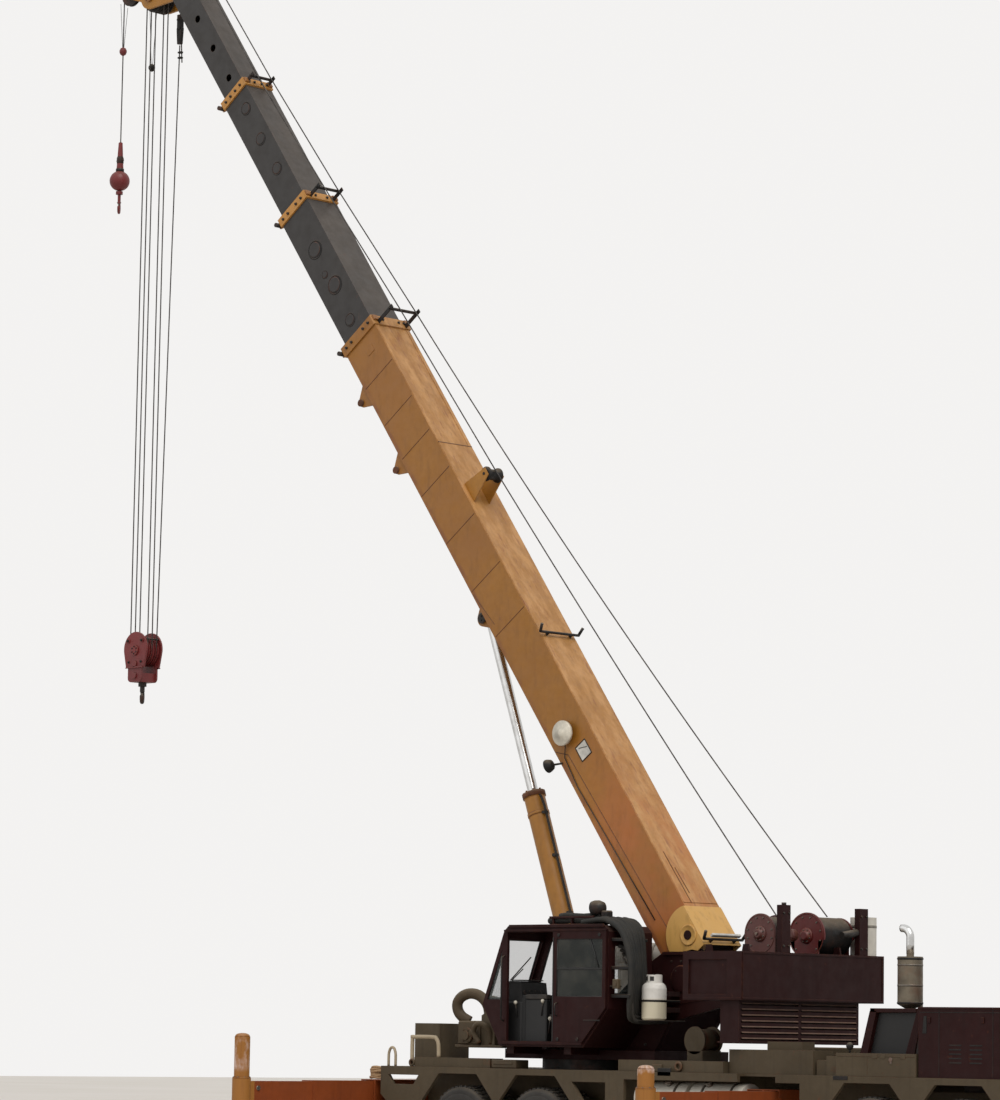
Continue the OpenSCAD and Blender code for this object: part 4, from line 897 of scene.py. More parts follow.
# Work lamp under the boom on the camera's side
lamp = Piece("boom_lamp", "boom", DARK, BOOM)
lamp.rod((3.12, 0.33, -0.50), (3.18, 0.40, -0.62), 0.014, n=10)
lamp.lathe((3.20, 0.40, -0.66), Vector((0.35, 0.1, -1)),
           [(0.03, -0.06), (0.07, -0.04), (0.085, 0.0), (0.09, 0.03), (0.02, 0.028)], n=24)
lamp.done()
lens = Piece("boom_lamp_lens", "boom", LENS_CLEAR, BOOM)
lens.lathe(Vector((3.20, 0.40, -0.66)) + Vector((0.35, 0.1, -1)).normalized() * 0.024,
           Vector((0.35, 0.1, -1)), [(0.078, 0), (0.078, 0.004), (0.05, 0.012), (0.01, 0.015)], n=24)
lens.done()

# Foot pin: a plain cover on both sides
foot = Piece("foot_pin_covers", "boom", BOOM_PAINT, BOOM)
for side in (-1, 1):
    foot.lathe((0, side * 0.354, 0), (0, side, 0),
               [(0.135, -0.001), (0.135, 0.010), (0.125, 0.016), (0.118, 0.016), (0.112, 0.012),
                (0.02, 0.012)], n=40)
foot.done()

# Collars: pad adjusters and bolts on the sides and the back, roller brackets below the near corner
for i, (end, body) in enumerate(zip(COLLAR_ENDS, ("boom", "section_1", "section_2"))):
    half = (SIDE, 0.29, 0.25)[i] + 0.022
    back = COLLAR_BACKS[i]
    low = -0.385 - back
    bits = Piece("collar_bolts_%d" % i, body, IRON, BOOM)
    s = end - 0.07
    for side in (-1, 1):
        for n in (back - 0.10, back - 0.22, low + 0.22, low + 0.10):
            bits.hex((s, side * half, n), (0, side, 0), 0.034, 0.024)
    for y in (-half + 0.10, -half + 0.2, half - 0.2, half - 0.10):
        bits.hex((s, y, back), (0, 0, 1), 0.034, 0.024)
    bits.rod((end - 0.05, half - 0.10, low - 0.045), (end - 0.05, half + 0.03, low - 0.045), 0.032, n=16)
    bits.done()
    lug = Piece("collar_lug_%d" % i, body, OCHRE_RUSTY, BOOM)
    lug.plate([(end - 0.13, low + 0.01), (end - 0.002, low + 0.01), (end + 0.0, low - 0.07),
               (end - 0.09, low - 0.07)], half - 0.075, half - 0.055)
    lug.box((end - 0.10, half - 0.09, back - 0.002), (end - 0.02, half - 0.01, back + 0.03))
    lug.box((end - 0.10, -half + 0.01, back - 0.002), (end - 0.02, -half + 0.09, back + 0.03))
    lug.done()

# Plugged round openings along the sides of the telescoping sections. Each is drawn as a dark ring with a cap
# set off its centre, so a crescent of painted shade shows on one side, as in a shallow recess
for name, body, half, places in (
    ("section_2_plugs", "section_2", 0.25, ((14.77, -0.13, 0.10), (14.18, -0.15, 0.10),
                                            (13.58, -0.14, 0.10))),
    ("section_1_plugs", "section_1", 0.29, ((12.02, -0.19, 0.14), (11.59, -0.24, 0.06),
                                            (11.33, -0.17, 0.14), (10.71, -0.22, 0.10))),
):
    # The dark ring is painted shade: only its crescent beside the shifted cap is seen
    ring = Piece(name, body, DARK, BOOM, slot="charcoal_paint")
    cap = Piece(name + "_caps", body, CHARCOAL, BOOM)
    for side in (-1, 1):
        for s, n, r in places:
            ring.lathe((s, side * (half - 0.002), n), (0, side, 0),
                       [(r, 0), (r, 0.005), (r * 0.88, 0.005), (r * 0.88, 0.003)], n=36)
            cap.lathe((s + r * 0.10, side * (half - 0.002), n - r * 0.06), (0, side, 0),
                      [(r * 0.80, 0.001), (r * 0.80, 0.004), (r * 0.7, 0.005)], n=36)
    ring.done()
    cap.done()

# Lift cylinder: gland, pipes with their clamps, bands, pin keepers
EYE = (-1.97444, 7.28939)
FOOT = (-0.05, 1.90)
axis = Vector((FOOT[0] - EYE[0], 0, FOOT[1] - EYE[1])).normalized()
ahead = axis.cross(Vector((0, 1, 0))).normalized()


def on_cylinder(d):
    """A point on the lift cylinder's axis, at a distance up from its foot."""
    return Vector((FOOT[0], 0, FOOT[1])) - axis * d


gland = Piece("lift_gland", "lift_barrel", RUSTED)
gland.lathe(on_cylinder(3.161), -axis, [(0.156, 0), (0.156, 0.066), (0.145, 0.0695), (0.10, 0.071),
                                        (0.10, 0.086), (0.074, 0.09)], n=40)
for ds, dy in around(8, 0.128):
    gland.hex(on_cylinder(3.23) + ahead * ds + Vector((0, dy, 0)), -axis, 0.026, 0.022)
gland.done()
pipes = Piece("lift_pipes", "lift_barrel", HOSE)
pipes.sweep([on_cylinder(d) + ahead * (0.14 + h) - Vector((0, 0.04, 0))
             for d, h in ((0.45, 0.03), (1.2, 0.03), (2.2, 0.03), (3.0, 0.03), (3.12, 0.015),
                          (3.16, -0.01))], 0.016, n=10)
for d in (0.7, 1.5, 2.3, 2.9):
    p = on_cylinder(d) + ahead * 0.15 - Vector((0, 0.04, 0))
    pipes.box(p - Vector((0.03, 0.035, 0.02)), p + Vector((0.03, 0.035, 0.02)))
pipes.done()
bands = Piece("lift_bands", "lift_barrel", OCHRE)
for d in (0.305, 2.9):
    bands.lathe(on_cylinder(d), -axis, [(0.139, 0), (0.147, 0.004), (0.147, 0.05), (0.139, 0.054)], n=40)
bands.done()
eye = Piece("lift_eye_keepers", "lift_rod", IRON)
for side in (-1, 1):
    y = side * 0.1651
    eye.lathe((EYE[0], y, EYE[1]), (0, side, 0), [(0.075, 0), (0.075, 0.012), (0.06, 0.02)], n=28)
    for dz in (-0.03, 0.03):
        eye.hex((EYE[0], y + side * 0.02, EYE[1] + dz), (0, side, 0), 0.022, 0.012)
eye.done()

# Wheels

TYRE_R = 0.56
TRACK = 1.26
LUG_COUNT = 44
LUG_FACES = [(0, 1, 3, 2), (4, 6, 7, 5), (0, 4, 5, 1), (2, 3, 7, 6), (0, 2, 6, 4), (1, 5, 7, 3)]


def wheel(node, x, side, twin):
    """One wheel or a twin pair, with lugs, sidewall rings, a dished rim, hub and nuts."""
    rubber_part = Piece(node + "_tyre", None, TYRE)
    metal = Piece(node + "_rim", node, RIM)
    nuts = Piece(node + "_nuts", node, IRON)

    def p(r, t, d):
        return Vector((x + r * math.cos(t), side * (TRACK - d), TYRE_R + r * math.sin(t)))

    for first, dish in ((0.0, 0.19), (0.34, 0.11)) if twin else ((0.0, 0.08),):
        half = [(0.2815, 0.024), (0.295, 0.012), (0.32, 0.004), (0.352, 0.001), (0.358, 0.006),
                (0.364, 0.001), (0.42, 0.000), (0.452, 0.001), (0.458, 0.005), (0.464, 0.001),
                (0.50, 0.009), (0.528, 0.022), (0.541, 0.042), (0.545, 0.07)]
        profile = half + [(r, 0.30 - d) for r, d in half[::-1]]
        rubber_part.lathe((x, side * (TRACK - first), TYRE_R), (0, -side, 0), profile + [profile[0]], n=64)
        for k in range(LUG_COUNT):
            for row, (d0, d1, skew) in enumerate(((0.040, 0.138, 0.03), (0.162, 0.260, -0.03))):
                t = 2 * math.pi * (k + 0.5 * row) / LUG_COUNT
                w = 2 * math.pi / LUG_COUNT * 0.30
                corners = [p(r, t + way * w * slim + s, first + d)
                           for r, slim in ((0.540, 1.0), (TYRE_R - 0.0005, 0.88))
                           for d, s in ((d0, skew), (d1, 0)) for way in (-1, 1)]
                rubber_part.add(corners, LUG_FACES)
        metal.lathe((x, side * (TRACK - first), TYRE_R), (0, -side, 0),
                    [(0.2795, 0.008), (0.2795, 0.292), (0.262, 0.292), (0.25, dish + 0.024),
                     (0.090, dish + 0.024), (0.090, dish), (0.165, dish - 0.001), (0.200, dish - 0.020),
                     (0.235, dish - 0.008), (0.252, dish - 0.02), (0.258, 0.030), (0.268, 0.012),
                     (0.2795, 0.008)], n=56)
        for t in (math.radians(45 * k + 10) for k in range(8)):
            nuts.rod(p(0.217, t, first + dish - 0.0145), p(0.217, t, first + dish - 0.018), 0.021, n=14)
    dish = 0.19 if twin else 0.08
    metal.lathe((x, side * (TRACK - dish), TYRE_R), (0, side, 0),
                [(0.09, -0.02), (0.09, 0.036), (0.078, 0.0395), (0.056, 0.0398), (0.040, 0.0395)], n=32)
    nuts.lathe((x, side * (TRACK - dish + 0.036), TYRE_R), (0, side, 0),
               [(0.05, 0), (0.05, 0.010), (0.036, 0.020), (0.010, 0.022)], n=24)
    for t in (math.radians(36 * k) for k in range(10)):
        nuts.hex(p(0.138, t, dish - 0.0005), (0, side, 0), 0.030, 0.026)
        nuts.rod(p(0.138, t, dish - 0.02), p(0.138, t, dish - 0.036), 0.010, n=8)
    obj = rubber_part.done()
    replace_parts(obj, node)
    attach(obj, node)
    metal.done()
    nuts.done()


for row, x in (("rear_1", WHEEL_X[0]), ("rear_2", WHEEL_X[1]), ("front_1", WHEEL_X[2]),
               ("front_2", WHEEL_X[3])):
    for name, side in (("right", -1), ("left", 1)):
        wheel("wheel_%s_%s" % (row, name), x, side, row.startswith("rear"))


# Seats: crowned cushions over plain blocks

def cushion(piece, lo, hi, crown, turn=None):
    """A padded block: rounded edges, with its broad face bulged by crown along its thin side."""
    lo, hi = Vector(lo), Vector(hi)
    centre, half = (lo + hi) / 2, (hi - lo) / 2
    thin = min(range(3), key=lambda i: half[i])
    made = bmesh.ops.create_cube(piece.bm, size=2)["verts"]
    faces = list({f for v in made for f in v.link_faces})
    edges = list({e for v in made for e in v.link_edges})
    out = bmesh.ops.subdivide_edges(piece.bm, edges=edges, cuts=7, use_grid_fill=True)
    verts = {v for f in piece.bm.faces for v in f.verts if all(abs(c) <= 1.0001 for c in v.co)} & \
            (set(made) | {v for g in out["geom"] if isinstance(g, bmesh.types.BMFace) for v in g.verts})
    for v in verts:
        q = v.co.copy()
        # Squeeze the cube towards a rounded form, then swell the broad faces
        for i in range(3):
            others = [q[j] for j in range(3) if j != i]
            v.co[i] = q[i] * (1 - 0.10 * (others[0] ** 8 + others[1] ** 8) / 2 * (1 if i != thin else 2.2))
        flat = [q[j] for j in range(3) if j != thin]
        v.co = Vector((v.co.x * half.x, v.co.y * half.y, v.co.z * half.z))
        if abs(q[thin]) > 0.99:
            v.co[thin] += math.copysign(crown, q[thin]) * (1 - flat[0] ** 2) * (1 - flat[1] ** 2)
        v.co = centre + (turn @ v.co if turn else v.co)
        for f in v.link_faces:
            f.smooth = True


def seat(node, body, x, y, z, facing, arms):
    """The CAD seat's blocks, dressed: a boxed base, a cushion, a leaned back and any arm rests."""
    base = Piece(node + "_base", body, DARK)
    base.box((x - 0.19, y - 0.19, z + 0.001), (x + 0.19, y + 0.19, z + 0.255), 0.01)
    for k in range(5):
        base.box((x - 0.193, y - 0.193, z + 0.03 + 0.045 * k),
                 (x + 0.193, y + 0.193, z + 0.045 + 0.045 * k), 0.004)
    base.done()
    soft = Piece(node + "_cushions", body, VINYL)
    cushion(soft, (x - 0.245, y - 0.225, z + 0.262), (x + 0.245, y + 0.225, z + 0.378), 0.012)
    lean = Matrix.Rotation(math.radians(-12 * facing), 3, "Y")
    hinge = Vector((x - 0.2 * facing, y, z + 0.36))
    middle = hinge + lean @ Vector((-0.055 * facing, 0, 0.32))
    cushion(soft, middle - Vector((0.05, 0.21, 0.29)), middle + Vector((0.05, 0.21, 0.29)), 0.014, lean)
    if arms:
        # Lever consoles on both sides of the knees, with a padded top
        consoles = Piece(node + "_consoles", body, BLACK, slot="seat_vinyl")
        for side in (-1, 1):
            mid = y + side * 0.225
            consoles.box((x - 0.575, mid - 0.045, z + 0.001), (x - 0.205, mid + 0.045, z + 0.555), 0.012)
            cushion(soft, (x - 0.58, mid - 0.05, z + 0.556), (x - 0.20, mid + 0.05, z + 0.618), 0.003)
        consoles.done()
    obj = soft.done()
    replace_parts(obj, node)


seat("driver_seat", "carrier", 7.76 - 0.78 + 0.52, 0.755, 1.35 + 0.0006 + 0.035, 1, False)
seat("operator_seat", "superstructure", 0.5, -0.92, 1.63 + 0.04 + 0.0003, -1, True)

# Glass: a pane in each window, with its rubber surround

def upright(a, b):
    """The four corners of an upright pane, from its lower and its upper opposite corner."""
    return [a, (b[0], b[1], a[2]), b, (a[0], a[1], b[2])]


def window(name, body, corners, material=None, ring=0.011):
    """A flat pane through four or more corners, and a rubber bead round it."""
    pts = [Vector(c) for c in corners]
    normal = (pts[1] - pts[0]).cross(pts[2] - pts[1]).normalized()
    pane = Piece(name + "_glass", body, material or GLASS)
    n = len(pts)
    verts = [p + normal * 0.003 for p in pts] + [p - normal * 0.003 for p in pts]
    faces = [tuple(range(n)), tuple(range(n, 2 * n))[::-1]]
    faces += [(i, n + i, n + (i + 1) % n, (i + 1) % n) for i in range(n)]
    pane.add(verts, faces)
    pane.done()
    bead = Piece(name + "_bead", body, BLACK, slot="hose_rubber")
    for a, b in zip(pts, pts[1:] + pts[:1]):
        bead.rod(a, b, ring, n=8)
    bead.done()


def smoothed(path, steps=5):
    """A rounded route through the given points."""
    out = []
    for k in range(len(path) - 1):
        a, b = Vector(path[max(k - 1, 0)]), Vector(path[k])
        c, d = Vector(path[k + 1]), Vector(path[min(k + 2, len(path) - 1)])
        for t in (i / steps for i in range(steps)):
            out.append(0.5 * (2 * b + (c - a) * t + (2 * a - 5 * b + 4 * c - d) * t * t
                              + (3 * b - a - 3 * c + d) * t ** 3))
    out.append(Vector(path[-1]))
    return out


DOOR_Y = -1.343
window("door", "operator_door", upright((0.62, DOOR_Y, 2.26), (1.41, DOOR_Y, 2.98)))
window("cab_far", "superstructure", [(-0.52, -0.54, 2.25), (1.34, -0.54, 2.25), (1.34, -0.54, 2.98),
                                     (-0.25, -0.54, 2.98)], CLEAR)
window("cab_quarter", "superstructure", [(-0.63, -1.30, 2.22), (-0.37, -1.30, 2.22), (-0.37, -1.30, 2.86)],
       CLEAR)
window("cab_front", "superstructure",
       [(-0.672, -1.24, 2.24), (-0.672, -0.60, 2.24), (-0.392, -0.60, 2.98), (-0.392, -1.24, 2.98)], CLEAR)
window("cab_rear", "superstructure", upright((1.46, -1.20, 2.30), (1.46, -0.64, 2.90)), CLEAR)
window("cab_roof", "superstructure",
       [(-0.15, -1.20, 3.13), (0.50, -1.20, 3.13), (0.50, -0.64, 3.13), (-0.15, -0.64, 3.13)], CLEAR)

trim = Piece("door_trim", "operator_door", BLACK, slot="hose_rubber")
trim.box((0.62, DOOR_Y - 0.012, 2.595), (1.41, DOOR_Y + 0.008, 2.62))
trim.rod((1.20, DOOR_Y - 0.006, 2.97), (1.34, DOOR_Y - 0.006, 2.62), 0.008, n=8)
trim.box((0.56, -1.364, 1.70), (0.575, -1.358, 3.0))
trim.done()
handle = Piece("door_handle", "operator_door", DARK)
handle.sweep([(0.64, -1.36, 2.02), (0.64, -1.40, 2.03), (0.64, -1.40, 2.17), (0.64, -1.36, 2.18)], 0.009)
for x, z in ((0.66, 3.03), (1.36, 3.03), (0.66, 1.73), (1.0, 1.73)):
    handle.rod((x, -1.362, z), (x, -1.372, z), 0.022)
handle.box((1.10, -1.366, 1.96), (1.38, -1.360, 1.975), 0.002)
handle.done()

# Operator's cab, outside: grab rail and wiper, then the rack, bundle and lamps on its roof
rail = Piece("cab_rails", "superstructure", DARK)
rail.sweep([(-0.33, -1.32, 1.95), (-0.33, -1.37, 1.97), (-0.33, -1.37, 2.75), (-0.33, -1.32, 2.77)], 0.011)
rail.sweep([(-0.62, -0.92, 2.30), (-0.55, -0.94, 2.48), (-0.50, -0.80, 2.62)], 0.007, n=6)
rail.rod((-0.55, -0.98, 2.47), (-0.44, -0.72, 2.77), 0.008, n=6)
rail.done()
roof = Piece("roof_rack", "superstructure", MAROON)
roof.box((-0.25, -1.335, 3.125), (1.40, -1.318, 3.165))
roof.box((0.36, -1.22, 3.151), (1.12, -0.98, 3.175))
for x in (0.40, 0.72, 1.06):
    roof.box((x, -1.22, 3.17), (x + 0.03, -0.98, 3.25))
roof.box((0.36, -1.23, 3.24), (1.12, -1.20, 3.27))
roof.done()
roof = Piece("roof_bundle", "superstructure", SLEEVE)
for i, (y, z, r) in enumerate(((-1.15, 3.215, 0.04), (-1.07, 3.22, 0.045), (-1.02, 3.21, 0.035),
                               (-1.11, 3.275, 0.035))):
    roof.sweep([(0.30 + 0.05 * i, y, z), (0.55, y - 0.02, z + 0.01), (0.85, y + 0.01, z - 0.004),
                (1.16, y, z + 0.01)], r, n=12)
roof.done()
lamp = Piece("roof_lamp", "superstructure", DARK)
lamp.lathe((1.10, -1.12, 3.37), (-1, -0.1, -0.1), [(0.02, -0.10), (0.07, -0.085), (0.095, -0.03),
                                                   (0.10, 0.03), (0.095, 0.07), (0.04, 0.072)], n=28)
lamp.rod((1.12, -1.10, 3.15), (1.12, -1.10, 3.30), 0.014)
lamp.box((1.18, -1.16, 3.24), (1.28, -1.02, 3.34), 0.02)
lamp.rod((1.23, -1.09, 3.14), (1.23, -1.09, 3.25), 0.014)
lamp.done()
lens = Piece("roof_lamp_lens", "superstructure", LENS_CLEAR)
lens.lathe(Vector((1.10, -1.12, 3.37)) + Vector((-1, -0.1, -0.1)).normalized() * 0.066,
           Vector((-1, -0.1, -0.1)), [(0.086, 0), (0.086, 0.004), (0.05, 0.014), (0.01, 0.017)], n=28)
lens.done()

# Hoses that leave the roof's rear edge and fall in behind the cab, inside the swing of the deck. Packed close
# in near-black rubber, they also stand in as a dark mass of painted shade behind the cab
fall = Piece("cab_hoses", "superstructure", SLEEVE)
for i in range(13):
    y = -1.24 + 0.040 * i
    out = 0.29 - 0.017 * i - 0.03 * (i % 2)
    low = 1.97 + 0.02 * (i % 3)
    r = 0.034 - 0.003 * (i % 3)
    path = [(0.95 + 0.03 * i, y, 3.19), (1.25, y, 3.22 + 0.01 * (i % 3)), (1.40, y, 3.20),
            (1.48 + out * 0.5, y, 3.06), (1.48 + out, y, 2.72), (1.49 + out, y + 0.01, 2.40),
            (1.46 + out * 0.9, y + 0.05, low + 0.12), (1.46 + out * 0.7, y + 0.20, low),
            (1.46 + out * 0.6, -0.50, low)]
    fall.sweep(smoothed(path), r, n=10)
fall.done()
clips = Piece("cab_hose_clips", "superstructure", DARK)
for z in (2.95, 2.60, 2.25):
    clips.box((1.475, -1.27, z), (1.79 if z < 2.9 else 1.68, -1.245, z + 0.04))
    clips.box((1.475, -0.72, z), (1.57, -0.70, z + 0.04))
    clips.box((1.478, -1.27, z), (1.49, -0.70, z + 0.04))
clips.box((1.482, -1.30, 2.38), (1.66, -1.255, 2.40))
clips.done()
valve = Piece("cab_valve_box", "superstructure", TAUPE)
valve.box((1.56, -1.34, 2.36), (1.66, -1.28, 2.48), 0.01)
valve.rod((1.61, -1.34, 2.42), (1.61, -1.35, 2.42), 0.03)
valve.done()

# Inside the cab: dashboard, side console, levers with pale knobs, pedals
inside = Piece("cab_console", "superstructure", BLACK, slot="seat_vinyl")
inside.box((-0.46, -1.17, 1.672), (-0.16, -0.66, 2.20), 0.02)
inside.plate([(-0.52, 2.18), (-0.16, 2.18), (-0.20, 2.44), (-0.40, 2.46)], -1.15, -0.68)
inside.box((-0.16, -1.17, 1.672), (-0.085, -1.02, 2.28), 0.015)
inside.done()
inside = Piece("cab_gauges", "superstructure", DARK)
inside.box((-0.39, -1.13, 2.462), (-0.21, -0.72, 2.475), 0.004)
for y in (-1.08, -0.98, -0.88, -0.78):
    inside.rod((-0.185, y, 2.31), (-0.172, y, 2.312), 0.036, n=24)
inside.done()
levers = Piece("cab_levers", "superstructure", DARK)
knobs = Piece("cab_knobs", "superstructure", IVORY)
for x, y, z, lean in ((-0.22, -1.19, 2.0, -0.03), (0.22, -1.20, 2.02, 0.02), (0.36, -1.21, 1.80, 0.02),
                      (0.06, -0.695, 2.29, 0.02), (0.14, -0.695, 2.29, 0.03), (0.02, -1.10, 1.75, -0.02)):
    top = (x + lean, y, z + 0.17)
    levers.rod((x, y, z), top, 0.007, n=8)
    knobs.lathe(top, (0, 0, 1), [(0.008, -0.01), (0.022, 0.006), (0.024, 0.022), (0.016, 0.036),
                                 (0.004, 0.04)], n=16)
for y in (-1.04, -0.92, -0.80):
    levers.box((-0.14, y - 0.035, 1.70), (-0.02, y + 0.035, 1.72), 0.006,
               Matrix.Rotation(math.radians(35), 3, "Y"))
levers.done()
knobs.done()

# Superstructure: bolts, plates and valves of the slewing frame
bolts = Piece("frame_bolts", "superstructure", IRON, slot="maroon_paint")
for side in (-1, 1):
    y = side * 0.481
    for k in range(12):
        bolts.hex((1.78 + 0.08 * k, y, 2.60 if k % 2 else 2.72), (0, side, 0), 0.026, 0.016)
    for x in (-0.7, -0.35, 0.0, 0.35, 0.7, 1.05, 1.35):
        bolts.hex((x, y, 1.68), (0, side, 0), 0.03, 0.018)
for x, y in around(28, 0.60):
    if abs(y) > 0.3:
        bolts.hex((x, y, 1.60), (0, 0, 1), 0.034, 0.026)
bolts.done()
plates = Piece("frame_plates", "superstructure", MAROON)
for side in (-1, 1):
    y0, y1 = sorted((side * 0.479, side * 0.492))
    plates.plate([(1.30, 2.12), (2.60, 2.27), (2.60, 2.31), (1.28, 2.16)], y0, y1)
    plates.plate([(1.66, 2.80), (2.74, 2.80), (2.74, 2.835), (1.65, 2.835)],
                 *sorted((side * 0.479, side * 0.52)))
    plates.lathe((1.94, side * 0.479, 2.50), (0, side, 0),
                 [(0.17, 0), (0.17, 0.012), (0.15, 0.016), (0.10, 0.016)], n=36)
plates.box((2.76, -1.352, 2.24), (3.69, -1.349, 2.262), 0.001)
plates.box((3.702, -1.34, 2.24), (3.708, 1.34, 2.262), 0.001)
plates.box((3.702, -1.34, 2.79), (3.708, 1.34, 2.812), 0.001)
for y in (-1.33, 1.32):
    plates.box((3.702, y - 0.01, 2.25), (3.709, y + 0.01, 2.80), 0.001)
for x, y in ((2.95, -1.1), (2.95, 1.1), (3.55, -1.1), (3.55, 0.62)):
    plates.plate([(x - 0.06, 2.82), (x + 0.06, 2.82), (x + 0.04, 2.91), (x - 0.04, 2.91)], y - 0.012,
                 y + 0.012)
plates.box((3.24, -1.26, 1.715), (3.29, 0.96, 1.735), 0.004)
plates.done()
valve = Piece("swing_valves", "superstructure", DARK)
valve.box((-0.78, 0.30, 1.605), (-0.30, 0.44, 1.78), 0.01)
for k in range(5):
    x = -0.73 + 0.09 * k
    valve.rod((x, 0.37, 1.78), (x, 0.37, 1.84), 0.024, n=12)
    valve.sweep(smoothed([(x, 0.44, 1.70), (x, 0.465, 1.74), (x + 0.3, 0.466, 1.92),
                          (x + 0.6, 0.466, 1.95)]), 0.012, n=8)
valve.done()

# Louvre lips on the tail housing, and the bolts of its posts
louvres = Piece("tail_louvres", "superstructure", LOUVRE)
for i in range(7):
    z = 1.782 + 0.07 * i
    for y0, y1 in ((-1.24, -0.17), (-0.13, 0.94)):
        louvres.plate([(3.596, z), (3.608, z - 0.014), (3.611, z - 0.014), (3.600, z + 0.002)], y0 + 0.01,
                      y1 - 0.01)
louvres.done()
posts = Piece("post_bolts", "superstructure", IRON)
for y in (-0.52, 0.965):
    for z in (2.90, 3.30):
        for dy in (-0.05, 0.05):
            posts.hex((3.691, y + dy, z), (1, 0, 0), 0.026, 0.016)
posts.rod((3.65, -0.52, 3.40), (3.65, -0.52, 3.43), 0.03)
posts.rod((3.64, 0.60, 3.06), (3.64, 0.885, 3.10), 0.045, n=18)
posts.done()

# Gas bottle: collar guard, valve, strap, stays and cradle
BOTTLE_XY = (1.87, -0.90)
guard = Piece("bottle_guard", "superstructure", BOTTLE)
for a0, a1 in ((-40, 40), (140, 220)):
    ring = [(BOTTLE_XY[0] + r * math.cos(math.radians(a)), BOTTLE_XY[1] + r * math.sin(math.radians(a)))
            for r, turn in ((0.095, range(a0, a1 + 1, 10)), (0.088, range(a1, a0 - 1, -10))) for a in turn]
    n = len(ring)
    verts = [(x, y, 2.43) for x, y in ring] + [(x, y, 2.545) for x, y in ring]
    faces = [(i, (i + 1) % n, n + (i + 1) % n, n + i) for i in range(n)]
    for base in (0, n):
        faces += [(base + i, base + i + 1, base + n - 2 - i, base + n - 1 - i) for i in range(n // 2 - 1)]
    guard.add(verts, faces)
guard.done()
valve = Piece("bottle_fittings", "superstructure", DARK)
valve.rod((*BOTTLE_XY, 2.43), (*BOTTLE_XY, 2.51), 0.018)
valve.rod((*BOTTLE_XY, 2.50), (*BOTTLE_XY, 2.53), 0.03, n=10)
valve.lathe((*BOTTLE_XY, 2.205), (0, 0, 1), [(0.155, 0), (0.159, 0.002), (0.159, 0.026), (0.155, 0.028)],
            n=40)
for x in (1.80, 1.92):
    valve.box((x, -0.76, 2.205), (x + 0.02, -0.48, 2.233))
valve.box((1.73, -1.04, 1.965), (2.01, -0.48, 1.979))
valve.done()

# Lying air tank: weld rings, drain, straps
welds = Piece("tank_fittings", "superstructure", STRAP_IRON)
for x in (-0.26, 0.86):
    welds.lathe((x, 0.70, 2.84), (1, 0, 0), [(0.1495, -0.004), (0.1525, 0), (0.1495, 0.004)], n=40)
for x in (0.0, 0.5):
    welds.lathe((x - 0.02, 0.70, 2.84), (1, 0, 0),
                [(0.150, 0), (0.154, 0.001), (0.154, 0.039), (0.150, 0.04)], n=40)
welds.rod((0.3, 0.70, 2.69), (0.3, 0.70, 2.65), 0.015)
welds.lathe((3.50, 1.185, 3.17), (0, 0, 1), [(0.1655, 0), (0.169, 0.002), (0.169, 0.03), (0.1655, 0.032)],
            n=40)
welds.rod((3.50, 1.185, 3.30), (3.50, 1.185, 3.345), 0.05)
welds.done()

DECK_Z = 1.352

# Carrier deck: ducts, pipe rail, boxes, clamps, valves and straps that stand on it

def round_bar(name, body, material, runs):
    """Bars or pipes: each run is a radius and its points."""
    piece = Piece(name, body, material)
    for r, pts in runs:
        piece.sweep(smoothed(pts, 4), r, n=14)
    return piece.done()


round_bar("deck_rail", "carrier", IVORY_PIPE, [
    (0.026, [(-2.10, -1.20, 1.35), (-2.10, -1.20, 1.70), (-2.07, -1.20, 1.73), (-1.72, -1.20, 1.73),
             (-1.66, -1.20, 1.71), (-1.62, -1.20, 1.64), (-1.61, -1.20, 1.47)]),
    (0.018, [(-2.54, -1.20, 1.35), (-2.54, -1.20, 1.48), (-2.533, -1.20, 1.53), (-2.51, -1.20, 1.575),
             (-2.475, -1.20, 1.59),
             (-2.44, -1.20, 1.575), (-2.417, -1.20, 1.53), (-2.41, -1.20, 1.48), (-2.41, -1.20, 1.35)])])
round_bar("hydraulic_tubes", "superstructure", TAUPE, [
    (0.070, [(-1.47, -0.78, 1.94), (-1.55, -0.84, 2.0), (-1.60, -0.87, 2.08), (-1.60, -0.88, 2.18),
             (-1.53, -0.87, 2.26),
             (-1.42, -0.84, 2.30), (-1.30, -0.80, 2.28), (-1.21, -0.76, 2.20), (-1.18, -0.72, 2.08),
             (-1.18, -0.70, 1.90)]),
    (0.058, [(-1.30, -0.55, 1.90), (-1.32, -0.60, 2.08), (-1.26, -0.66, 2.18), (-1.14, -0.70, 2.22),
             (-1.02, -0.70, 2.17), (-0.98, -0.68, 2.05), (-0.98, -0.66, 1.64)]),
    (0.034, [(-1.12, -0.95, 1.66), (-1.20, -0.98, 1.80), (-1.13, -1.0, 1.90), (-1.02, -0.98, 1.90),
             (-0.97, -0.92, 1.80), (-0.98, -0.88, 1.66)])])

pack = Piece("hydraulic_pack", "superstructure", TAUPE)
pack.box((-1.58, -0.94, 1.604), (-0.72, -0.30, 1.64), 0.006)
pack.box((-1.56, -0.92, 1.64), (-1.16, -0.48, 1.95), 0.02)
pack.plate([(-1.14, 1.64), (-0.90, 1.64), (-0.90, 1.92), (-1.06, 2.06), (-1.14, 2.02)], -0.90, -0.50)
pack.rod((-1.36, -0.92, 1.76), (-1.36, -0.96, 1.76), 0.10, n=28)
pack.rod((-1.36, -0.96, 1.76), (-1.36, -0.985, 1.76), 0.06, n=24)
for dx, dz in around(6, 0.08):
    pack.hex((-1.36 + dx, -0.96, 1.76 + dz), (0, -1, 0), 0.018, 0.012)
pack.done()

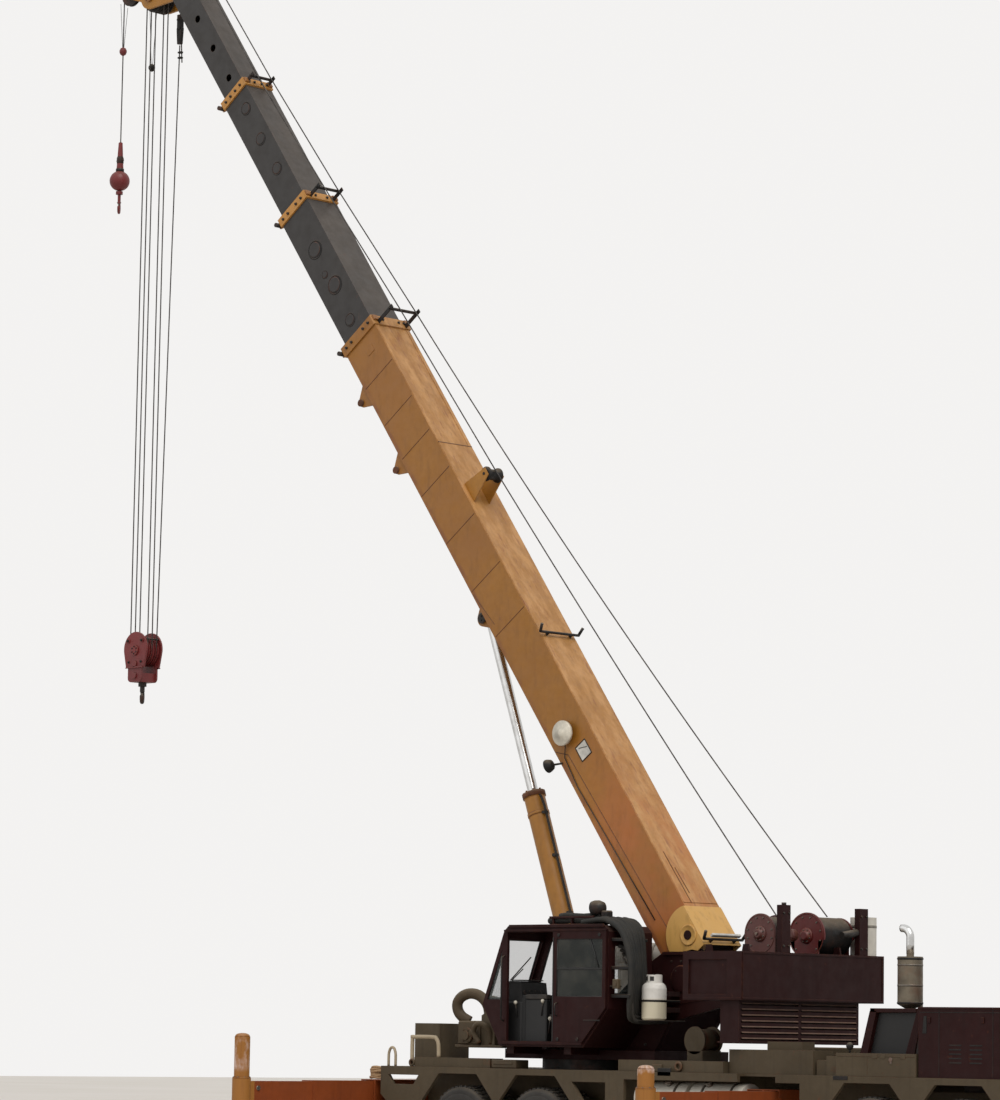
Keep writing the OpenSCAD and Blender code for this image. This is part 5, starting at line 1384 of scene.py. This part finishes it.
boxes = Piece("deck_fittings", "carrier", TAUPE)
for x, y in ((-2.06, -1.235), (-1.20, -1.21), (-0.74, -1.21)):
    boxes.lathe((x, y, 1.40), (0, -1, 0), [(0.028, -0.012), (0.05, 0), (0.05, 0.02), (0.03, 0.024),
                                           (0.03, -0.012)], n=20)
boxes.box((-0.60, -1.26, DECK_Z), (-0.16, -1.02, 1.46), 0.01)
boxes.box((-0.55, -1.27, 1.40), (-0.22, -1.258, 1.43), 0.003)
boxes.box((2.18, -1.27, DECK_Z), (2.34, -1.16, 1.44), 0.006)
boxes.lathe((2.62, -1.25, 1.42), (0, -1, 0), [(0.03, 0), (0.06, 0.004), (0.06, 0.03), (0.035, 0.034),
                                              (0.03, 0)], n=22)
boxes.box((5.26, -1.26, DECK_Z), (5.45, -1.08, 1.56), 0.01)
boxes.done()
dark = Piece("deck_dark_parts", "carrier", DARK)
dark.lathe((5.30, -1.24, 1.70), (0, 0, 1), [(0.01, -0.045), (0.035, -0.03), (0.046, 0), (0.035, 0.03),
                                            (0.01, 0.045)], n=20)
dark.rod((5.30, -1.24, 1.61), (5.30, -1.24, 1.68), 0.012, n=8)
dark.box((2.30, -1.30, 1.30), (2.52, -1.285, 1.40), 0.004)
dark.box((5.10, -1.307, 1.305), (5.32, -1.30, 1.35), 0.002)
dark.done()
strap = Piece("strap_bundle", "carrier", STRAP)
for k in range(6):
    loop = 0.115 - 0.012 * (k % 3)
    cx, cy, z = -2.90 + 0.012 * (k % 2), -1.02 - 0.008 * (k % 3), 1.196 + 0.026 * k
    strap.sweep([(cx + dx, cy + dy, z + 0.006 * math.sin(i + k))
                 for i, (dx, dy) in enumerate(around(20, loop))], 0.017, n=8, closed=True)
strap.done()

# Toolbox: lid seam, hinge, latch
tool = Piece("toolbox_lid", "carrier", TAUPE)
tool.box((5.15, -1.294, 1.582), (6.31, -1.289, 1.590), 0.001)
for x in (5.72, 5.84, 6.14):
    tool.box((x - 0.035, -1.296, 1.56), (x + 0.035, -1.289, 1.612), 0.003)
tool.box((5.60, -1.293, 1.37), (5.608, -1.289, 1.58), 0.001)
tool.done()
tool = Piece("toolbox_latch", "carrier", BARE, slot="bright_rod")
tool.rod((5.96, -1.288, 1.55), (5.96, -1.300, 1.55), 0.026, n=18)
tool.box((5.945, -1.297, 1.50), (5.975, -1.289, 1.55), 0.003)
tool.done()

# Engine hood: panel seams, slot, slanted opening with its bar, latches, grille
hood = Piece("hood_seams", "carrier", DARK)
HOOD_Y = -1.281
hood.box((6.66, HOOD_Y - 0.002, 1.37), (6.668, HOOD_Y + 0.002, 2.14), 0.0005)
hood.box((7.44, HOOD_Y - 0.002, 1.37), (7.448, HOOD_Y + 0.002, 2.14), 0.0005)
hood.box((6.38, HOOD_Y - 0.002, 2.10), (8.28, HOOD_Y + 0.002, 2.107), 0.0005)
hood.plate([(6.42, 1.86), (6.48, 1.86), (6.48, 2.06), (6.44, 2.06)], HOOD_Y - 0.003, HOOD_Y + 0.002)
hood.plate([(6.02, 1.46), (6.30, 1.46), (6.30, 2.06), (6.14, 2.06)], -0.945, -0.938)
for x in (6.9, 7.2, 7.7, 8.0):
    for k in range(5):
        hood.box((x - 0.09, HOOD_Y - 0.002, 1.52 + 0.05 * k), (x + 0.09, HOOD_Y + 0.002, 1.535 + 0.05 * k),
                 0.0005)
hood.done()
hood = Piece("hood_trim", "carrier", MAROON)
hood.plate([(5.93, 1.37), (5.98, 1.37), (6.16, 2.12), (6.11, 2.12)], -0.955, -0.938)
hood.box((6.36, HOOD_Y - 0.008, 2.14), (8.28, HOOD_Y + 0.004, 2.162), 0.003)
for x in (6.52, 7.30, 7.58, 8.14):
    hood.box((x - 0.02, HOOD_Y - 0.014, 1.98), (x + 0.02, HOOD_Y + 0.002, 2.05), 0.004)
for k in range(7):
    hood.box((8.296, -1.10, 1.46 + 0.09 * k), (8.312, 0.02, 1.48 + 0.09 * k), 0.003)
hood.done()

# Muffler: end rims and bright bands
STACK = (5.785, -0.72)
for name, material, slot, places, half, r in (
    ("muffler_rims", DARK, None, (2.215, 2.735), 0.014, 0.156),
    ("muffler_bands", BARE, "bright_rod", (2.42, 2.66), 0.012, 0.153),
):
    rims = Piece(name, "carrier", material, slot=slot)
    for z in places:
        rims.lathe((*STACK, z), (0, 0, 1), [(0.1495, -half), (r, -0.01), (r, 0.01), (0.1495, half)], n=40)
    rims.done()

# Tanks on the skirts: straps and caps
straps = Piece("tank_straps", "carrier", DARK)
for x0, x1 in ((1.85, 2.68), (2.75, 3.59)):
    for x in (x0 + 0.18, x1 - 0.20):
        for side in (-1, 1):
            straps.lathe((x, side * 1.03, 1.03), (1, 0, 0),
                         [(0.200, 0), (0.205, 0.002), (0.205, 0.038), (0.200, 0.04)], n=44)
straps.done()
caps = Piece("tank_caps", "carrier", BARE)
for x in (2.36, 3.02):
    for side in (-1, 1):
        caps.rod((x, side * 1.13, 1.19), (x, side * 1.16, 1.232), 0.045, n=20)
        caps.rod((x, side * 1.16, 1.232), (x, side * 1.172, 1.25), 0.055, n=20)
caps.done()

# Outrigger beams and jacks: caps, bolts and the pins of the floats
for body, x, top, side in (("beam_rear_right", -2.96, 1.70, -1), ("beam_rear_left", -2.70, 1.70, 1),
                           ("beam_front_right", 4.03, 1.40, -1), ("beam_front_left", 3.77, 1.40, 1)):
    cap = Piece(body + "_cap", body, ORANGE)
    y = side * 3.4
    cap.lathe((x, y, top - 0.002), (0, 0, 1), [(0.098, 0), (0.09, 0.02), (0.07, 0.036), (0.04, 0.045),
                                               (0.01, 0.048)], n=36)
    cap.lathe((x, y, 1.172), (0, 0, 1), [(0.101, 0), (0.119, 0), (0.119, 0.012), (0.101, 0.016)], n=36)
    cap.done()
    bolts = Piece(body + "_bolts", body, BARE)
    bolts.rod((x - 0.111, side * 3.20, 1.05), (x + 0.111, side * 3.20, 1.05), 0.03, n=18)
    for dx, dy in around(8, 0.109, 22.5):
        bolts.hex((x + dx, y + dy, 1.182), (0, 0, 1), 0.016, 0.012)
    bolts.done()
    pin = Piece(body + "_float_pin", "jack_" + body[5:], BARE, slot="bright_rod")
    pin.rod((x - 0.085, y, 0.145), (x + 0.085, y, 0.145), 0.011, n=12)
    pin.done()

# Dark frame and cooler between the turntable and the engine hood
guard = Piece("engine_rear_guard", "carrier", BLACK, slot="dark_iron")
guard.plate([(5.22, DECK_Z), (5.88, DECK_Z), (6.00, 2.10), (5.42, 2.10)], -0.84, 0.10)
guard.done()
guard = Piece("engine_guard_bars", "carrier", MAROON)
for y in (-0.90, 0.06):
    guard.plate([(5.10, DECK_Z), (5.22, DECK_Z), (5.42, 2.12), (5.32, 2.12)], y, y + 0.08)
guard.box((5.32, -0.90, 2.10), (6.02, -0.84, 2.15), 0.006)
guard.box((5.32, -0.90, 2.10), (5.40, 0.14, 2.15), 0.006)
guard.done()

# Boxes and a hose drum in the middle of the deck, under the tail's swing
middle = Piece("deck_middle_boxes", "carrier", TAUPE)
middle.box((3.36, -0.30, DECK_Z), (4.60, 0.50, 1.68), 0.012)
middle.box((4.66, -0.55, DECK_Z), (5.04, 0.40, 1.60), 0.012)
middle.box((2.40, -0.88, DECK_Z), (2.66, -0.52, 1.62), 0.012)
middle.rod((2.53, -0.87, 1.74), (2.53, -0.55, 1.74), 0.14, n=32)
for y in (-0.88, -0.56):
    middle.rod((2.53, y, 1.74), (2.53, y + 0.02, 1.74), 0.17, n=32)
for x in (3.55, 3.9, 4.25):
    middle.box((x, -0.304, 1.42), (x + 0.22, -0.296, 1.60), 0.004)
middle.done()

# Bright pipe end of the exhaust
tip = Piece("exhaust_tip", "carrier", CHROME)
tip.sweep([(*STACK, 2.79), (*STACK, 2.90), (*STACK, 2.985)]
          + arc((STACK[0] - 0.11, 2.985), 0.11, 10, 90, 8, STACK[1])
          + [(STACK[0] - 0.13, STACK[1], 3.095)], 0.0472, n=24)
tip.done()
# Dark disc across the pipe's mouth: soot inside the pipe, and painted shade for its hollow
tip = Piece("exhaust_mouth", "carrier", DARK)
tip.rod((5.660, -0.72, 3.095), (5.652, -0.72, 3.095), 0.041, n=24)
tip.done()

# Driver's cab: panes, wipers, mirrors, handles, lamps, steps
window("driver_screen", "carrier", [(8.417, 0.31, 1.991), (8.417, 1.20, 1.991), (8.232, 1.20, 2.562),
                                    (8.232, 0.31, 2.562)])
window("driver_side", "carrier", upright((7.38, 0.238, 1.90), (8.10, 0.238, 2.48)))
window("driver_rear", "carrier", upright((6.998, 0.38, 1.95), (6.998, 1.13, 2.48)))
window("driver_door", "driver_door", upright((7.37, 1.273, 1.90), (8.07, 1.273, 2.46)))
dark = Piece("driver_cab_trim", "carrier", DARK)
for y0, y1 in ((0.50, 0.72), (0.92, 1.14)):
    dark.rod((8.468, y0, 1.93), (8.492, y0, 1.955), 0.012, n=10)
    dark.sweep([(8.485, y0, 1.95), (8.43, (y0 + y1) / 2, 2.14), (8.375, y1, 2.30)], 0.006, n=6)
    dark.sweep([(8.44, y1 - 0.03, 2.12), (8.352, y1 + 0.02, 2.42)], 0.008, n=6)
for z in (1.70, 2.40):
    dark.sweep([(8.28, 1.285, z), (8.34, 1.40, z + 0.02), (8.36, 1.48, z + 0.02)], 0.010, n=8)
dark.sweep([(8.36, 1.48, 1.72), (8.36, 1.48, 2.42)], 0.010, n=8)
dark.box((8.34, 1.40, 1.95), (8.38, 1.57, 2.33), 0.015)
dark.sweep([(7.20, 1.292, 1.50), (7.20, 1.34, 1.52), (7.20, 1.34, 2.05), (7.20, 1.292, 2.07)], 0.012, n=8)
for z in (0.52, 0.82):
    dark.box((7.45, 1.10, z), (8.0, 1.27, z + 0.03), 0.006)
for x in (7.47, 7.96):
    dark.box((x, 1.235, 0.52), (x + 0.02, 1.265, 1.18), 0.003)
dark.done()
mirror = Piece("driver_mirror", "carrier", CHROME)
mirror.box((8.334, 1.415, 1.965), (8.340, 1.555, 2.315), 0.003)
mirror.done()
dark = Piece("driver_door_trim", "driver_door", DARK)
dark.sweep([(7.36, 1.292, 1.76), (7.37, 1.325, 1.76), (7.49, 1.325, 1.76), (7.50, 1.292, 1.76)], 0.009, n=8)
dark.rod((7.43, 1.288, 1.70), (7.43, 1.300, 1.70), 0.018, n=14)
dark.done()
amber = Piece("marker_lamps", "carrier", LENS_AMBER)
for y in (0.34, 1.17):
    amber.box((8.10, y - 0.05, 2.638), (8.17, y + 0.05, 2.668), 0.01)
amber.box((8.20, 1.288, 1.42), (8.30, 1.305, 1.48), 0.006)
for side in (-1, 1):
    amber.box((-3.112, side * 0.98 - 0.05, 0.99), (-3.098, side * 0.98 + 0.05, 1.07), 0.004)
amber.done()
red = Piece("tail_lamps", "carrier", LENS_RED)
for side in (-1, 1):
    red.box((-3.112, side * 0.82 - 0.09, 0.99), (-3.098, side * 0.82 + 0.09, 1.07), 0.004)
red.done()
clear = Piece("head_lamps", "carrier", LENS_CLEAR)
rim = Piece("head_lamp_rims", "carrier", BARE, slot="bright_rod")
for y in (-0.9, -0.2):
    clear.lathe((8.292, y, 0.91), (1, 0, 0), [(0.058, 0), (0.058, 0.006), (0.04, 0.018), (0.01, 0.022)], n=28)
for y in (0.52, 0.96):
    rim.lathe((8.318, y, 0.88), (1, 0, 0), [(0.082, 0), (0.082, 0.03), (0.070, 0.036), (0.066, 0.03)], n=32)
    clear.lathe((8.336, y, 0.88), (1, 0, 0), [(0.068, 0), (0.06, 0.012), (0.03, 0.022), (0.01, 0.024)], n=28)
clear.done()
rim.done()
dark = Piece("driver_dashboard", "carrier", BLACK, slot="seat_vinyl")
dark.plate([(8.10, 1.80), (8.40, 1.80), (8.40, 1.92), (8.28, 1.94), (8.12, 1.90)], 0.30, 1.22)
dark.sweep([(7.90 + dx * 0.42, 0.755 + dy, 2.0 + dx * 0.9) for dx, dy in around(28, 0.19)], 0.014, n=8,
           closed=True)
dark.rod((7.90, 0.755, 2.0), (8.16, 0.755, 1.86), 0.022, n=12)
for dx, dy in around(3, 0.19, 30):
    dark.rod((7.91, 0.755, 1.995), (7.90 + dx * 0.42, 0.755 + dy, 2.0 + dx * 0.9), 0.009, n=8)
dark.done()

# Underside: brake chambers and air pipes by the axles, mudguard stays
brakes = Piece("brake_chambers", "carrier", DARK)
for x in (-1.164, 0.217):
    for side in (-1, 1):
        brakes.lathe((x + 0.20, side * 0.40, 0.60), (1, 0, 0),
                     [(0.03, 0), (0.075, 0.01), (0.08, 0.06), (0.085, 0.065), (0.08, 0.07), (0.075, 0.13),
                      (0.02, 0.15)], n=24)
        brakes.rod((x + 0.20, side * 0.40, 0.60), (x + 0.04, side * 0.40, 0.58), 0.010, n=8)
        brakes.box((x + 0.01, side * 0.40 - 0.012, 0.52), (x + 0.05, side * 0.40 + 0.012, 0.62), 0.003)
brakes.done()


# Camera, light and floor

camera = bpy.data.objects.new("camera", bpy.data.cameras.new("camera"))
bpy.context.collection.objects.link(camera)
camera.data.lens = 135
camera.data.sensor_width = 36
camera.data.clip_end = 400
psi, pitch, roll = (math.radians(v) for v in (44.553, 6.7652, 0.9))
camera.matrix_world = (
    Matrix.Translation(at(36.590, -39.0187, 1.7147))
    @ Matrix.Rotation(psi, 4, "Z")
    @ Matrix.Rotation(math.pi / 2 + pitch, 4, "X")
    @ Matrix.Rotation(roll, 4, "Z")
)
bpy.context.scene.camera = camera

world = bpy.data.worlds.new("studio")
bpy.context.scene.world = world
world.use_nodes = True
wt = world.node_tree
background = wt.nodes["Background"]
background.inputs["Color"].default_value = (0.93, 0.95, 1, 1)
background.inputs["Strength"].default_value = 0.5
seen = wt.nodes.new("ShaderNodeBackground")
seen.inputs["Color"].default_value = (0.9, 0.89, 0.88, 1)
seen.inputs["Strength"].default_value = 1
light_path = wt.nodes.new("ShaderNodeLightPath")
either, also = (wt.nodes.new("ShaderNodeMath") for _ in range(2))
either.operation = also.operation = "MAXIMUM"
choose = wt.nodes.new("ShaderNodeMixShader")
for a, b in (
    (light_path.outputs["Is Camera Ray"], either.inputs[0]),
    (light_path.outputs["Is Glossy Ray"], either.inputs[1]),
    (either.outputs[0], also.inputs[0]), (light_path.outputs["Is Transmission Ray"], also.inputs[1]),
    (also.outputs[0], choose.inputs[0]), (background.outputs[0], choose.inputs[1]),
    (seen.outputs[0], choose.inputs[2]), (choose.outputs[0], wt.nodes["World Output"].inputs["Surface"]),
):
    wt.links.new(a, b)


def sun(name, energy, turn, angle, colour=(1, 1, 1)):
    lamp = bpy.data.lights.new(name, "SUN")
    lamp.energy = energy
    lamp.angle = math.radians(angle)
    lamp.color = colour
    obj = bpy.data.objects.new(name, lamp)
    obj.rotation_euler = tuple(math.radians(v) for v in turn)
    bpy.context.collection.objects.link(obj)


sun("sky_key", 1.75, (38, 0, 60), 40, (1, 0.98, 0.95))
sun("sky_fill", 0.35, (60, 0, -20), 60)

floor_mesh = bpy.data.meshes.new("floor")
floor_mesh.from_pydata([(-90, -90, 0), (90, -90, 0), (90, 90, 0), (-90, 90, 0)], [], [(0, 1, 2, 3)])
floor = bpy.data.objects.new("floor", floor_mesh)
bpy.context.collection.objects.link(floor)
floor.location.z = -0.002
ground = Nodes("pale_floor")
ground.put(colour=ground.mix(ground.ramp(ground.noise(0.2, 4), 0.3, 0.7), rgb(212, 206, 198),
                             rgb(206, 200, 190)))
ground.put(roughness=0.9)
floor_mesh.materials.append(ground.mat)

bpy.context.scene.view_settings.view_transform = "Standard"
